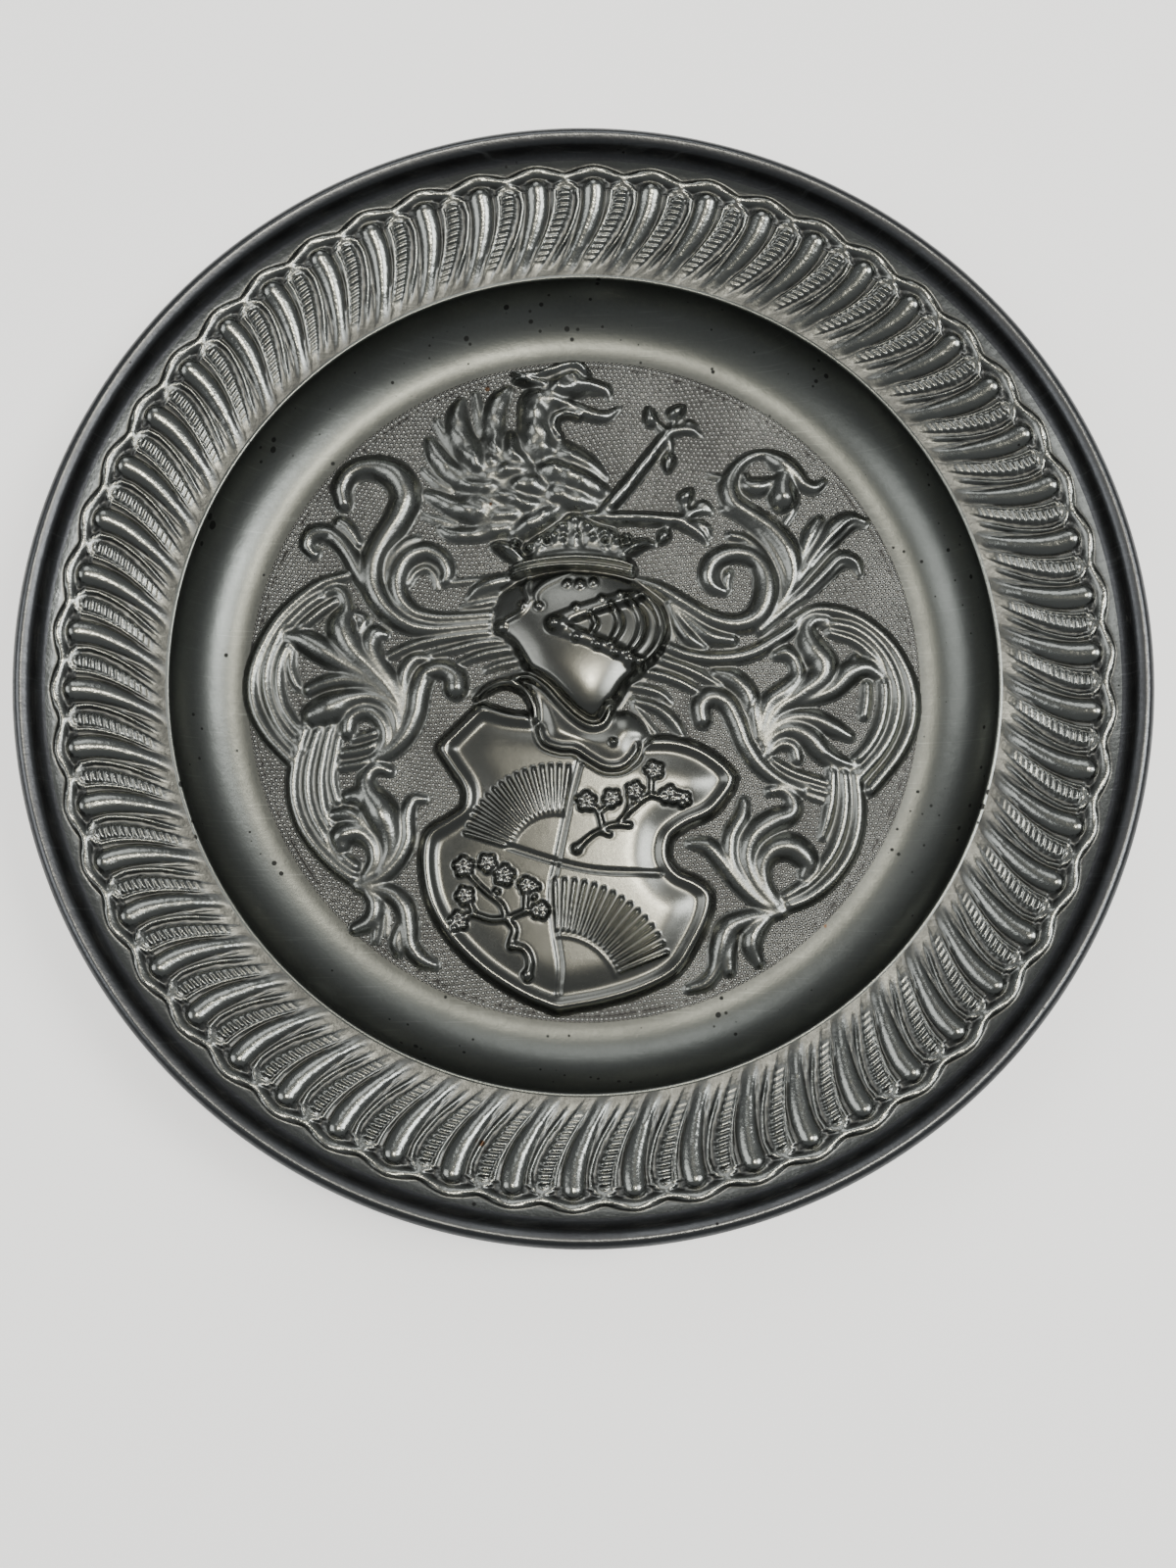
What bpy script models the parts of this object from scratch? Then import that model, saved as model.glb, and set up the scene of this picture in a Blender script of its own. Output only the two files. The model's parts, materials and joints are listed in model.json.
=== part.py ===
# Pewter wall plate: a cast plate with a rolled edge, a rim of swirling flutes between rope rows,
# a hollow well and a medallion with a crested helmet over a quartered shield.
# It lies face up: the flat underside is at z = 0, the carving looks up, its top is towards +Y.
import math

import bpy
import numpy as np

for old in list(bpy.data.objects):
    bpy.data.objects.remove(old, do_unlink=True)

MM = 0.001

# Driving sizes, in mm
EDGE_R = 150.0
EDGE_Z = 31.6
BEAD_TOP = (147.4, 33.7)
COVE = (142.8, 27.0)
FLUTE_OUTER = (139.2, 25.5)
FLUTE_INNER = (117.8, 18.5)
WELL_EDGE = (112.9, 18.8)
GROUND_R = 95.9
GROUND_Z = 2.5
FOOT_R = 93.5
UNDER_RIM = (114.6, 16.2)
UNDER_EDGE = (143.4, 24.9)
FLUTES = 54
FLUTE_PHASE = 2.1
FLUTE_DRIFT = 0.8
FLUTE_DRIFT_FROM = -0.26
FLUTE_SWIRL = 4.2
FLUTE_HALF = 3.5
FLUTE_RISE = 2.0
ARCH_R = 141.6
ARCH_DIP = 1.6
ROPE_TURN = 3.15
TARGET_TRIANGLES = 9850

# Relief of the medallion above its ground
RIBBON_LIFT = 0.47
SCROLL_LIFT = 0.44
LEAF_LIFT = 0.5
SHEET_PITCH = 0.5

# folds of the ribbon on the left, as (x, y, width) in mm along each
LEFT_RIBBONS = (
    ((-67, 31.2, 3), (-77, 27.3, 4), (-86.5, 18.7, 4.4), (-92, 9, 4.6), (-94.3, 0, 4.6),
     (-93.2, -8, 4.6), (-89, -15.5, 4.6), (-82.5, -22.5, 4.4)),
    ((-72, 26.5, 3), (-79, 22, 3.8), (-86, 14.5, 4), (-89.8, 6, 4), (-90.3, -1.5, 4), (-88, -9, 4),
     (-84.5, -15, 4), (-80, -19.5, 4)),
    ((-70.5, 23.5, 3), (-76, 19.8, 3.6), (-82, 14, 3.6), (-86, 7, 3.7), (-86.9, 0, 3.7),
     (-85.6, -6.5, 3.7), (-82.7, -11.5, 3.6), (-80, -14.5, 3.6)),
    ((-83.2, 9.5, 2.6), (-83.6, 4.5, 3), (-82.4, 0.5, 3), (-81.2, -1.8, 2.4)),
    ((-58, 6, 2.6), (-50, 10, 3), (-42, 12.3, 3.2), (-33, 13.8, 3.2), (-24, 14.5, 3)),
    ((-44.5, 7.6, 1.8), (-37.5, 9.3, 2.6), (-30, 11.2, 2.8), (-20, 12.2, 2.6)),
    ((-36, 5.2, 2), (-28.5, 8, 3), (-17, 10, 3)),
    ((-28, 3.4, 1.8), (-23.5, 5, 2.4), (-16, 6.6, 2.4)),
    ((-31.5, -3.6, 1.4), (-27, -1, 1.9), (-17, 3, 2)),
    ((-65, -16.5, 2.6), (-60, -15.2, 2.8), (-55, -13, 2.8)),
    ((-68, -20.6, 3), (-62, -19.5, 3.2), (-55, -16.5, 3.2)),
    ((-68.5, -24.5, 2.6), (-62, -23.3, 2.8), (-55, -20.3, 2.8)),
    ((-78, -11, 4), (-80.3, -19, 4), (-81.8, -27, 4.2), (-81.2, -35, 4.2), (-77.8, -43, 4.3),
     (-72, -50, 4.4), (-66, -55, 4.4), (-60, -58.3, 4.2)),
    ((-74.5, -12, 3.4), (-76.8, -20, 3.5), (-78, -28, 3.6), (-77, -35.5, 3.7), (-74, -42, 3.8),
     (-69.5, -48, 3.9), (-64, -52.5, 3.8)),
    ((-71.5, -12, 3), (-73.2, -20, 3.2), (-74.2, -28, 3.4), (-73.2, -36, 3.2), (-70.6, -42, 2.6)),
    ((-68.8, -13, 2.6), (-70.2, -21, 2.8), (-70.9, -28, 2.8), (-69.3, -34.3, 2.4)),
)

# the rolled ends and the leaves behind them, upper left
LEFT_SCROLLS = (
    ((-70.3, 46.3, 4), (-68, 44.6, 4), (-65, 40.3, 2.6)),
    ((-48.3, 41.8, 2), (-52, 39.8, 3), (-55.7, 35.3, 3.4), (-57, 30, 3)),
    ((-18, 30.5, 3), (-25, 28.8, 4.8), (-30, 27, 4), (-33, 24.4, 1.8)),
    ((-20, 31.2, 1.6), (-30, 29.7, 1.8), (-38, 28.8, 1.6)),
    ((-35, 21.6, 1.2), (-31, 22.3, 2), (-25, 23.6, 2)),
    ((-31, 24.2, 1.2), (-25, 26, 2)),
    ((-77.7, 37.4, 3.6), (-79.6, 39.6, 4.2), (-78.3, 42.8, 5), (-74.2, 43.2, 5.4),
     (-70.6, 41, 5.2), (-67.6, 37, 5), (-64.8, 32, 5.4), (-61, 26, 5)),
    ((-69.4, 52.3, 5.2), (-70, 57, 5.9), (-67, 61.5, 6.2), (-61, 62.9, 6.8), (-54.7, 60.5, 8.4),
     (-51.7, 54.5, 8.6), (-53.5, 48, 8), (-57.8, 41, 7.6), (-60.6, 34, 7.8), (-60.2, 27, 7.4),
     (-56, 20.5, 6.4), (-50, 16.4, 5.2), (-43.5, 15.2, 3.8), (-36, 15.8, 3.2), (-26, 16.8, 3)),
    ((-40, 29.4, 3.2), (-39.3, 32, 4), (-41, 35.8, 4.8), (-45.8, 38, 5.2), (-51, 35.8, 5.8),
     (-53.7, 30.5, 6), (-53, 24.5, 5.6), (-49, 20.2, 4.4), (-43, 18.6, 3.4), (-36, 18.6, 3.2),
     (-25, 19.6, 3)),
    ((-42.3, 27.6, 1.4), (-42.9, 30.6, 1.9), (-45.2, 32.9, 2.2), (-48.6, 31.7, 2.2),
     (-50.6, 28.4, 2)),
)

# acanthus leaves on the left
LEFT_LEAVES = (
    ((-64.9, 19, 2.8), (-63, 17.6, 3), (-64.4, 13, 3.2), (-62, 8, 3)),
    ((-57, 13.6, 2.6), (-60, 13.6, 4.8), (-61, 9.6, 5.6), (-58.5, 4.5, 5.2), (-54.5, -0.8, 4.4),
     (-51.5, -7, 3)),
    ((-84, 13, 3.6), (-80.2, 12, 5.6), (-74.5, 8.8, 6.6), (-68, 4.8, 5.4), (-61, 0.6, 4.4),
     (-54, -5, 3.2)),
    ((-73.5, 26, 2.8), (-71, 26.6, 3.2), (-68.8, 24.6, 3.2), (-68, 20.6, 4), (-69, 15.5, 8),
     (-66, 9, 7.6), (-60, 3, 6), (-54.5, -3.5, 4.4), (-51.4, -9.5, 3)),
    ((-78, -2.4, 3.4), (-73, -0.4, 4), (-67, 0.4, 4), (-60, -1.4, 4), (-54, -6, 3.2),
     (-51, -11, 2.6)),
    ((-76.5, -9.8, 6.4), (-72, -7.8, 8), (-67, -5.4, 5.6), (-61, -4.4, 4.4), (-55.6, -6.8, 4.4),
     (-53, -12.5, 4.2), (-54.5, -18.5, 3)),
    ((-67, -14.2, 4.4), (-66.3, -10.8, 4.2), (-63, -8.7, 4.2), (-59.3, -9.4, 4.4),
     (-56.6, -12.6, 4.4), (-56, -17, 4), (-58.5, -21.3, 2.6)),
    ((-44.6, 6.7, 2.2), (-48.4, 6.4, 3.4), (-51.2, 2.4, 3.6), (-51.4, -4, 3), (-50.6, -10, 2)),
    ((-36.5, -1.8, 6.2), (-37, 1.6, 5.6), (-41, 3.6, 5), (-45, 2, 5.2), (-47, -3, 5.6),
     (-47.9, -9, 5.4), (-50.4, -15, 5), (-54.6, -19.8, 4.2), (-59, -22, 2.8)),
    ((-66.3, -33, 3.6), (-63, -33, 4.6), (-59.7, -37, 4.4), (-57.3, -43, 3)),
    ((-70.2, -38, 3), (-66, -37.9, 4), (-61.6, -41, 3.8), (-58.5, -46.5, 3)),
    ((-68, -46.6, 4.6), (-68, -44, 6.2), (-63.5, -42.8, 5.4), (-59.6, -46, 4.4), (-58.6, -51, 3.8),
     (-61, -55.5, 3)),
    ((-54.9, -25.7, 2.8), (-58.5, -24.7, 3.6), (-61.4, -27.8, 4.4), (-60.4, -32.5, 6.4),
     (-57.2, -37.5, 9.2), (-54.8, -43, 7.2), (-54.6, -48.5, 5), (-57, -54, 3.6)),
    ((-45, -33.5, 2), (-48.3, -34, 3.2), (-49.8, -38.5, 4), (-49.7, -45, 4.2), (-52.4, -51, 4.2),
     (-57.5, -55.8, 4.2), (-63, -58, 3.4)),
    ((-61, -58.6, 3.2), (-58.3, -62.5, 4.4), (-59, -67.3, 4.6), (-63.6, -69.8, 3)),
    ((-57.5, -62, 2.4), (-57.4, -68, 2.8), (-58, -73, 2)),
    ((-56.3, -62.5, 0.9), (-54.9, -66, 1.1), (-55, -71.5, 1)),
    ((-50, -67, 3), (-52, -73, 3.8), (-51.6, -75.8, 3)),
    ((-62, -58.4, 3.4), (-54.5, -59.7, 4.4), (-50.2, -63.5, 5.2), (-49, -69, 5), (-48.3, -74, 4.4),
     (-45.3, -78, 4), (-41.5, -79.8, 2.4)),
)

# folds of the ribbon on the right
RIGHT_RIBBONS = (
    ((60, 18, 3), (66.5, 20.8, 4), (74, 20.2, 4), (81, 16.8, 4.2), (87.5, 10.5, 4.2),
     (91.7, 2.5, 4.2), (93.2, -5.5, 4.3), (92, -13.5, 4.3), (88, -21.5, 4.3), (80.5, -30.8, 3.8)),
    ((68, 17.2, 3.2), (76, 16, 3.8), (82, 12, 4), (86.8, 5, 4), (89, -3.5, 4.1), (87.8, -12, 4.1),
     (84, -19.5, 4.1), (77, -27.5, 3.8)),
    ((70, 14.5, 2.6), (77, 12, 3.2), (82, 7.5, 3.6), (84.8, 1, 3.9), (85.1, -6, 4), (83.4, -13, 4),
     (80, -19, 3.8), (75, -24, 3.6)),
    ((80.2, -0.5, 3), (80, -5, 3.4), (79.2, -9.6, 3.2)),
    ((21, 11.5, 2.8), (29, 8, 3.8), (38, 6.8, 4.2), (47, 8.2, 4.4), (55, 12.6, 4.2),
     (62, 17.4, 3.4)),
    ((19, 7.4, 2.6), (28, 4.3, 3.2), (33, 2, 3), (38.5, -1.2, 2.4)),
    ((13, 3.8, 2.6), (22, 1.9, 3.2), (28, -0.4, 3.3), (33, -3.4, 2.6)),
    ((11, -1, 2), (18, -2.1, 2.8), (22, -3.6, 2.6), (24.4, -6, 1.4)),
    ((20, -2.4, 1.6), (22, -5.6, 1.4)),
    ((14, -5.4, 2.4), (21, -7.8, 3.6), (25.5, -12, 3.6), (27.6, -16, 2.6)),
    ((14, -7, 1.6), (18, -12.4, 2.2), (20.5, -15.6, 1.8)),
    ((53, -22.6, 2.6), (59, -26, 3), (68, -29, 3)),
    ((54, -26.6, 2.6), (60, -29.4, 3), (68, -31.8, 3)),
    ((60, -31.4, 2), (67, -33.9, 2)),
    ((69.8, -24, 3.6), (69.6, -32, 3.7), (68.2, -39, 3.4), (66.6, -44.2, 2.2)),
    ((73, -24, 3.6), (73.4, -33, 3.9), (72.3, -41, 4), (69.2, -48.8, 4), (63.8, -55.4, 3.9),
     (57.5, -60, 3.6), (51, -63, 3)),
    ((76, -24, 3.6), (77, -33, 4.1), (76.6, -41, 4.2), (74.2, -48.7, 4.2), (69.2, -55.8, 4.2),
     (62.6, -61, 4.1), (55, -63.9, 3.8), (49, -64.6, 3)),
)

# the flower, leaves and rolled ends, upper right
RIGHT_SCROLLS = (
    ((42, 43, 2.6), (46.5, 41.6, 3.2), (51, 37.2, 3.6), (54, 31, 3.4), (55, 25, 2.6)),
    ((24, 22.5, 2), (26.7, 17, 3.6), (30, 12.6, 4.2), (33.6, 10.3, 2.4)),
    ((24.5, 22.6, 2.4), (31, 17.2, 3.4), (36, 13.3, 4.6), (42, 12.2, 3.6)),
    ((36, 61, 1.2), (40, 60, 2)),
    ((40, 50.6, 2), (45, 48.4, 3), (50.5, 44, 3.4), (55, 37, 3.4), (57.4, 30, 3), (56.5, 24, 2.6)),
    ((60.4, 50.6, 1.8), (57.4, 46, 1.8)),
    ((67.5, 47.2, 3.4), (65.4, 43.6, 4.8), (63.2, 38.5, 3.6), (61.5, 32, 2.6)),
    ((69.2, 59, 2.2), (66.4, 57.2, 3.4), (63, 58.6, 4.4), (60.3, 61.8, 5.6), (56.8, 64.6, 6),
     (52, 67.2, 3), (47, 65.9, 3), (43.2, 61.8, 4.4), (41.6, 57, 5.8), (43.3, 52.3, 6),
     (48.2, 48.8, 6), (54, 44.4, 6.6), (58.6, 38, 7), (59.8, 31, 5), (57.6, 25, 3.6),
     (53, 19.5, 3)),
    ((46.2, 60.6, 2.4), (47, 58, 4.6), (50, 57.4, 5.4), (54, 58.6, 4)),
    ((58, 60, 6), (57.4, 57, 7.6), (57.4, 54.3, 8.6)),
    ((80.6, 46.8, 2.8), (76.3, 47.3, 5.4), (71.8, 44, 6.6), (67.6, 38.5, 5.2), (63.5, 33, 4.2),
     (59, 27, 3.4), (54, 20.5, 3)),
    ((78.8, 32, 2.4), (77.2, 35.2, 4.2), (73.4, 35.8, 5), (69, 31.7, 4.6), (64, 26.7, 4),
     (58, 22, 3.4), (50, 15, 3)),
    ((12, 30, 2.4), (21, 27.4, 3.8), (29, 22.6, 4.4), (36, 18.4, 5), (43, 16.8, 5.6),
     (49, 18.9, 6.6), (52, 24.8, 7.2), (51.7, 32, 6.6), (47.6, 36.9, 5.6), (41.6, 37.5, 5.4),
     (36.8, 35, 5.6), (35.3, 31, 5.2), (36.6, 28, 4.2), (40, 26.4, 2.6)),
    ((49.6, 34.2, 1.6), (45, 35.9, 2), (41, 35.8, 2), (38.3, 33.2, 2), (38, 30, 1.9),
     (39.8, 27.4, 1.4)),
    ((41.2, 31.6, 3), (40.8, 29, 2), (41.2, 27.2, 1.6)),
)

# acanthus leaves on the right
RIGHT_LEAVES = (
    ((37.3, 2.6, 2.8), (42, 1, 5), (46, -3, 5.4), (48, -9, 4.6), (49, -16, 3)),
    ((33.2, -10.8, 4.8), (32.9, -6.8, 5), (36, -4.3, 5.2), (40.3, -6, 5.4), (43.2, -11.5, 5.4),
     (45.6, -18, 5), (49.6, -24, 4.4), (55, -28.3, 3.6), (61, -31, 3)),
    ((54.8, 8, 3), (57.7, 8.4, 4), (60.3, 5.4, 3.8), (60.3, 0.8, 4.4), (56.8, -2.8, 5.6),
     (52, -6.5, 5), (49.6, -14, 3.6)),
    ((69, 18.2, 2.8), (65.5, 18, 3.4), (63.4, 15, 4.4), (64.8, 10, 6.8), (68, 5.5, 7.4),
     (67, 1, 6.8), (61, -3.5, 5.6), (54.5, -8, 4.4), (50.4, -15.5, 3.2)),
    ((84, 2, 2.8), (80.3, 4.2, 4.8), (75.6, 2.9, 6), (70.5, -2, 5), (64, -4.8, 3.8),
     (57, -6.6, 3.4), (52, -12, 3), (50, -18, 2.6)),
    ((77, 6.8, 2.8), (76, 3.4, 3.4)),
    ((75, -15.6, 2.8), (70.5, -13.2, 4.6), (65, -10.6, 4.8), (59, -10.2, 4), (54, -12.5, 3.4),
     (50.5, -18, 3)),
    ((75.4, -24, 2.8), (71, -22.6, 4.2), (67, -20, 5.4), (63.2, -15.6, 6), (58, -13.6, 4.8),
     (53, -16, 3.4), (50.5, -21, 2.6)),
    ((51.6, -21, 2), (55.4, -17.8, 3), (59, -18.6, 3.4), (60, -22.2, 3)),
    ((29.6, -46, 2.4), (34.5, -46.8, 4.4), (38.5, -51, 4.8), (43, -57, 4.4), (49, -62.5, 3.8),
     (55, -65, 3)),
    ((44.8, -34.2, 2.8), (44, -38.5, 4), (41.1, -44, 4.4), (41, -51, 4.6), (44.4, -57, 4.2),
     (50, -63, 3.4)),
    ((61.4, -55, 3.4), (62.4, -51.2, 5.6), (58.5, -47.2, 6.8), (53, -47.6, 6), (49.6, -52, 5),
     (50.4, -58, 4), (54, -62.8, 3)),
    ((52.2, -31.2, 2.8), (55.6, -30.8, 3.2), (58.4, -33.5, 3.8), (58, -37.4, 4.8),
     (52.6, -39.8, 6), (47.2, -44, 6), (45.4, -50, 5), (47.8, -57, 4.4), (53, -63.2, 3.8)),
    ((52, -66, 2.8), (48, -69.4, 4.8), (46.2, -74, 5), (48.2, -79, 2.8)),
    ((41.5, -71, 3.2), (39.8, -76, 4), (40, -81.2, 3.2)),
    ((54, -65.4, 3), (46, -66.8, 4.4), (40, -69.6, 5.8), (37.7, -75, 5.6), (36.4, -80.5, 4),
     (33.4, -84.6, 3.4), (28.8, -86.3, 2.4)),
)

# feathers of the wing
WING = (
    ((-24, 86.4, 4.4), (-26.6, 80, 6.4), (-26.8, 73, 6.2), (-25, 66, 6)),
    ((-32.4, 84.6, 2.6), (-31.6, 80, 3), (-31, 74, 2.2)),
    ((-36.6, 82.6, 4), (-37, 76, 6.4), (-34.4, 68, 8), (-30, 62, 8)),
    ((-43, 76.4, 2.2), (-40.3, 71.6, 2.8), (-36.6, 66, 2.4)),
    ((-44.4, 70.4, 4), (-42.4, 65, 6.4), (-38, 60.2, 7), (-31, 57.4, 5.4), (-24, 57.5, 4.4)),
    ((-47.4, 62, 1.6), (-44, 59.2, 2), (-39.5, 57, 1.6)),
    ((-46.4, 55.4, 3.8), (-41, 52.6, 6), (-34, 49.8, 6), (-26, 48.4, 5)),
    ((-46.6, 48.8, 1.8), (-41.6, 47, 2)),
    ((-40, 44.6, 3.4), (-35, 43.2, 4.2), (-29, 43.8, 4)),
    ((-34, 54.2, 2), (-29.6, 53.8, 2.8), (-24.5, 52, 2.8)),
)

# short feathers of the breast
DOWN = (
    ((-21.8, 71.6, 4.6), (-20.6, 67, 6.8), (-19.5, 62, 6)),
    ((-29.6, 66.8, 3.8), (-27.4, 62.5, 4)),
    ((-26, 60.6, 3), (-22, 62, 4.2), (-18, 62.4, 4.6)),
    ((-20.4, 59, 3.6), (-17, 57.6, 4.6), (-12.6, 56, 4)),
    ((-24, 54.6, 3), (-17, 52.6, 3.6), (-11, 52.8, 3)),
    ((-13, 69, 3.6), (-7, 68, 4.6), (0, 66.4, 3.6)),
    ((-10, 64.6, 3), (-5, 63.6, 4.4), (3, 62.6, 4), (6.6, 58.6, 3)),
    ((-11, 60.6, 3.2), (-5, 58.8, 4), (2, 57.2, 4), (8, 55.4, 4)),
    ((-9, 55.6, 3), (-4.6, 53.6, 4.2), (1, 53, 4), (6, 52, 4)),
    ((-28, 46.6, 4), (-22, 45.4, 4.4), (-15, 46.2, 4)),
    ((-16, 49.4, 4), (-11, 48, 4)),
)

# the two forelegs and their claws
LEGS = (
    ((6.5, 50.5, 5), (13, 58.8, 4.6), (24.3, 73.2, 3.8)),
    ((21, 76.2, 2), (24.4, 74, 2.4)),
    ((24.5, 73.6, 2.6), (29, 75, 3), (32, 74.6, 2.6), (34.4, 73.1, 1.2)),
    ((29.6, 76, 1.6), (31.2, 76.6, 2.2), (32.8, 75.6, 1.4)),
    ((25, 74, 2), (25.6, 77, 2)),
    ((24.5, 72, 2), (24.5, 68, 2)),
    ((-1, 48.6, 4.4), (12, 48.2, 4.2), (28, 47.8, 4)),
    ((28.6, 49, 2.2), (29, 53, 2.8), (29.8, 56, 3.4), (31, 57, 1.6)),
    ((27.6, 56.2, 1.4), (29.6, 56.6, 2.4)),
    ((29, 48.6, 2.6), (33, 50.8, 3), (37.4, 49.3, 1.4)),
    ((32.4, 52.2, 2), (34.8, 52.4, 3), (36.6, 51, 1.6)),
    ((27, 47.4, 3.8), (31, 45.6, 4), (33.8, 44, 3), (35.2, 41.2, 1.2)),
    ((32, 46.8, 2.6), (35, 45.8, 3), (36, 43, 1.8)),
    ((22.8, 41, 1.8), (23, 44, 3.6), (24, 46, 3)),
)


# the shield's outline, from corner to corner along the middle of its raised border
SHIELD_SIDES = (
    ((-29, -8.2), (-40, -19.2)),
    ((-40, -19.2), (-36.4, -24.5), (-32.6, -30.5), (-33, -36.5), (-38, -40.4), (-43, -44),
     (-44, -52), (-42, -62), (-36.5, -71.5), (-27.5, -80.3), (-17, -87), (-7.5, -91)),
    ((-7.5, -91), (5, -88.7), (16, -85.3), (24.6, -80.6), (29.4, -73.5), (32.8, -66.5),
     (33.8, -60.5), (30.5, -57.4), (25, -54.8), (21.9, -50), (22.8, -43.8), (28, -39.7),
     (34.6, -36.6), (39.6, -30.8), (41, -27.4)),
    ((41, -27.4), (38, -24), (31.6, -19.8), (24, -17.7), (15, -18)),
    ((-29, -8.2), (-21, -10.6), (-11, -11.4)),
)
BORDER = 4.3

# the quartering: a sun in two quarters as (centre, disc radius, ray ends, angles, rays)
SUNS = (
    ((-8, -51), 13.2, (14, 27.4), (82.5, 163), 16),
    ((-7, -88), 16.4, (17.8, 32.6), (21.5, 92.5), 15),
)
TWIGS = (
    ((-2, -47.4), (1, -44.6), (4, -42.8), (7.6, -41), (12.6, -41)),
    ((5, -42), (4.2, -38.6), (1.6, -35.4)),
    ((9.8, -40), (13.6, -36), (18, -32.8), (24, -33.4)),
    ((18.4, -32.6), (18.8, -27)),
    ((-15.8, -83.4), (-15, -79), (-16.6, -75.4), (-20, -74), (-19.4, -70), (-21.6, -67)),
    ((-21.6, -67), (-23.2, -63), (-27.6, -59.4), (-32.6, -54)),
    ((-21.6, -67), (-26, -67.2), (-31, -65.8), (-34, -66.6)),
    ((-21, -66.8), (-16.4, -65), (-13, -64.8)),
)
BLOSSOMS = (
    (0.4, -34.4), (7.6, -33.5), (14, -31.4), (19.4, -25.6), (23.7, -32.6), (27.4, -33.7),
    (-33.6, -52.6), (-27, -51.6), (-22.4, -55), (-34.9, -67.6), (-33.2, -60.6), (-12.2, -64.7),
    (-16, -57.8),
)
BLOSSOM_R = 3.0

HELMET = (
    (-26.5, 14.5), (-26.8, 20.5), (-23.8, 27), (-17, 31.2), (-8, 33), (3, 33.2), (11, 31.4),
    (17.5, 28.6), (22.8, 24), (25, 17.5), (24, 11), (20.5, 6), (17, 3), (12, -2), (9, -8),
    (4.5, -12.3), (-1, -11.4), (-6, -6.4), (-10.5, -1.2), (-16, 2.2), (-19.4, 6.4), (-21.4, 11.8),
)
VISOR = (
    ((-9.4, 16.4, 2.2), (-4, 19.4, 2.2), (2.4, 21.8, 2.2), (9, 24, 2.2), (15.6, 25.8, 2.2)),
    ((-9.4, 16.2, 2.2), (-4, 12.8, 2.2), (2, 10.4, 2.2), (8, 8, 2.2), (14, 5.4, 2.2)),
    ((8, 21.6, 1.8), (10.2, 17, 2.2), (7.8, 11.6, 1.8)),
    ((12.2, 24, 2.2), (16.6, 19.8, 2.8), (17, 15.4, 2.8), (12.6, 7.8, 2.4)),
    ((16.6, 26.4, 2.8), (21.2, 20.8, 3.8), (22, 15, 3.8), (17.4, 6, 3.2)),
)
RIVETS = ((-24.2, 16.2, 2.4), (-5.4, 28.7, 1.8), (-1.4, 28.3, 2), (2, 29, 1.8), (17, 4.6, 1.8))

GORGET = (
    (-17, -2), (-12, -1.4), (-8, -5), (-3, -10), (2, -12.4), (5, -12), (7.4, -9), (10.6, -7.6),
    (14.6, -8.6), (18.4, -12.6), (19.6, -16), (16, -18.6), (16, -21.4), (13, -25), (8.6, -26.8),
    (4, -25.6), (-1, -21.8), (-6, -21.4), (-11, -19.8), (-14, -16), (-13.4, -12), (-13.6, -7),
)
GORGET_ROLLS = (
    ((-29.4, -4.6, 2), (-25.6, -1.4, 2.8), (-20.4, -0.2, 3), (-16, -3, 3), (-13.8, -8, 3)),
    ((-18, 1.6, 2.4), (-12, 0.6, 2.6), (-7.6, -4, 2.6), (-3, -8.8, 2.8), (1.4, -12, 3),
     (5, -12.2, 3), (7.2, -8, 3.4)),
    ((-13, -13.4, 3), (-11.4, -17.6, 3), (-5.6, -19.8, 3), (-0.8, -20.2, 3), (4.2, -24, 3),
     (9, -25.2, 3), (13.2, -23, 3), (14.8, -19.4, 3)),
)

CROWN_BAND = (
    (-20.5, 33), (-10, 37), (-2, 38), (7, 37), (14.5, 35), (14.3, 31), (7, 32), (-1.5, 33),
    (-10, 32), (-17, 29.8),
)
CROWN_LEAVES = (
    ((-9, 39, 3.4), (-7.4, 44, 5)), ((-3.6, 38, 4), (-3.4, 43, 5), (-3.6, 46.6, 5)),
    ((1, 39, 3.4), (1.2, 44.6, 4.6)), ((4, 38.6, 4), (6.4, 42.4, 5.4)),
    ((-14, 38, 4), (-11.8, 41, 4)), ((9, 38, 3), (11.6, 41.6, 3.8)),
    ((9.6, 37, 2.8), (13.4, 38.8, 4.6), (17, 40, 3.6), (20.2, 39.8, 1.6)),
    ((-21, 36, 4), (-23.6, 38.4, 4.4), (-27, 39.6, 1.8)),
)

HEAD = (
    (-19.6, 84), (-17.4, 87.6), (-14, 89), (-12, 91.4), (-8, 93), (-4, 94.6), (-0.6, 94), (1, 91),
    (4.4, 90.2), (7.4, 88), (7.8, 84.6), (6.6, 84.4), (5.6, 86), (1, 86), (-3, 84.4), (-8, 83),
    (-10, 79.6), (-9, 74), (-9.8, 71.4), (-14, 68), (-18.4, 70), (-19.4, 76),
)
HEAD_RIDGES = (
    ((-20, 91.4, 1.8), (-14.4, 91, 2.4), (-9, 92.4, 2.6), (-4.6, 94, 2.6), (0.6, 92, 2)),
    ((-9, 83, 3), (-3.6, 81.8, 3), (1.4, 80, 2.8), (5.6, 79, 2.6), (10.2, 80.8, 1.6)),
    ((-3.2, 78.8, 2), (-6.2, 79.4, 2.2), (-8.8, 77.6, 2.4), (-9, 74, 2.4)),
)
BREAST = (
    (-27, 78), (-33, 74), (-38, 66), (-37, 57), (-40, 53), (-30, 44), (-20, 41), (-8, 44), (4, 49),
    (9, 53), (4, 62), (-3, 67), (-10, 70), (-17, 74), (-21, 74),
)
TOES = ((19.4, 77.8, 18.4, 82.2), (26, 79.8, 29.4, 82.4), (24.5, 66.2, 24, 62))


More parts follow.
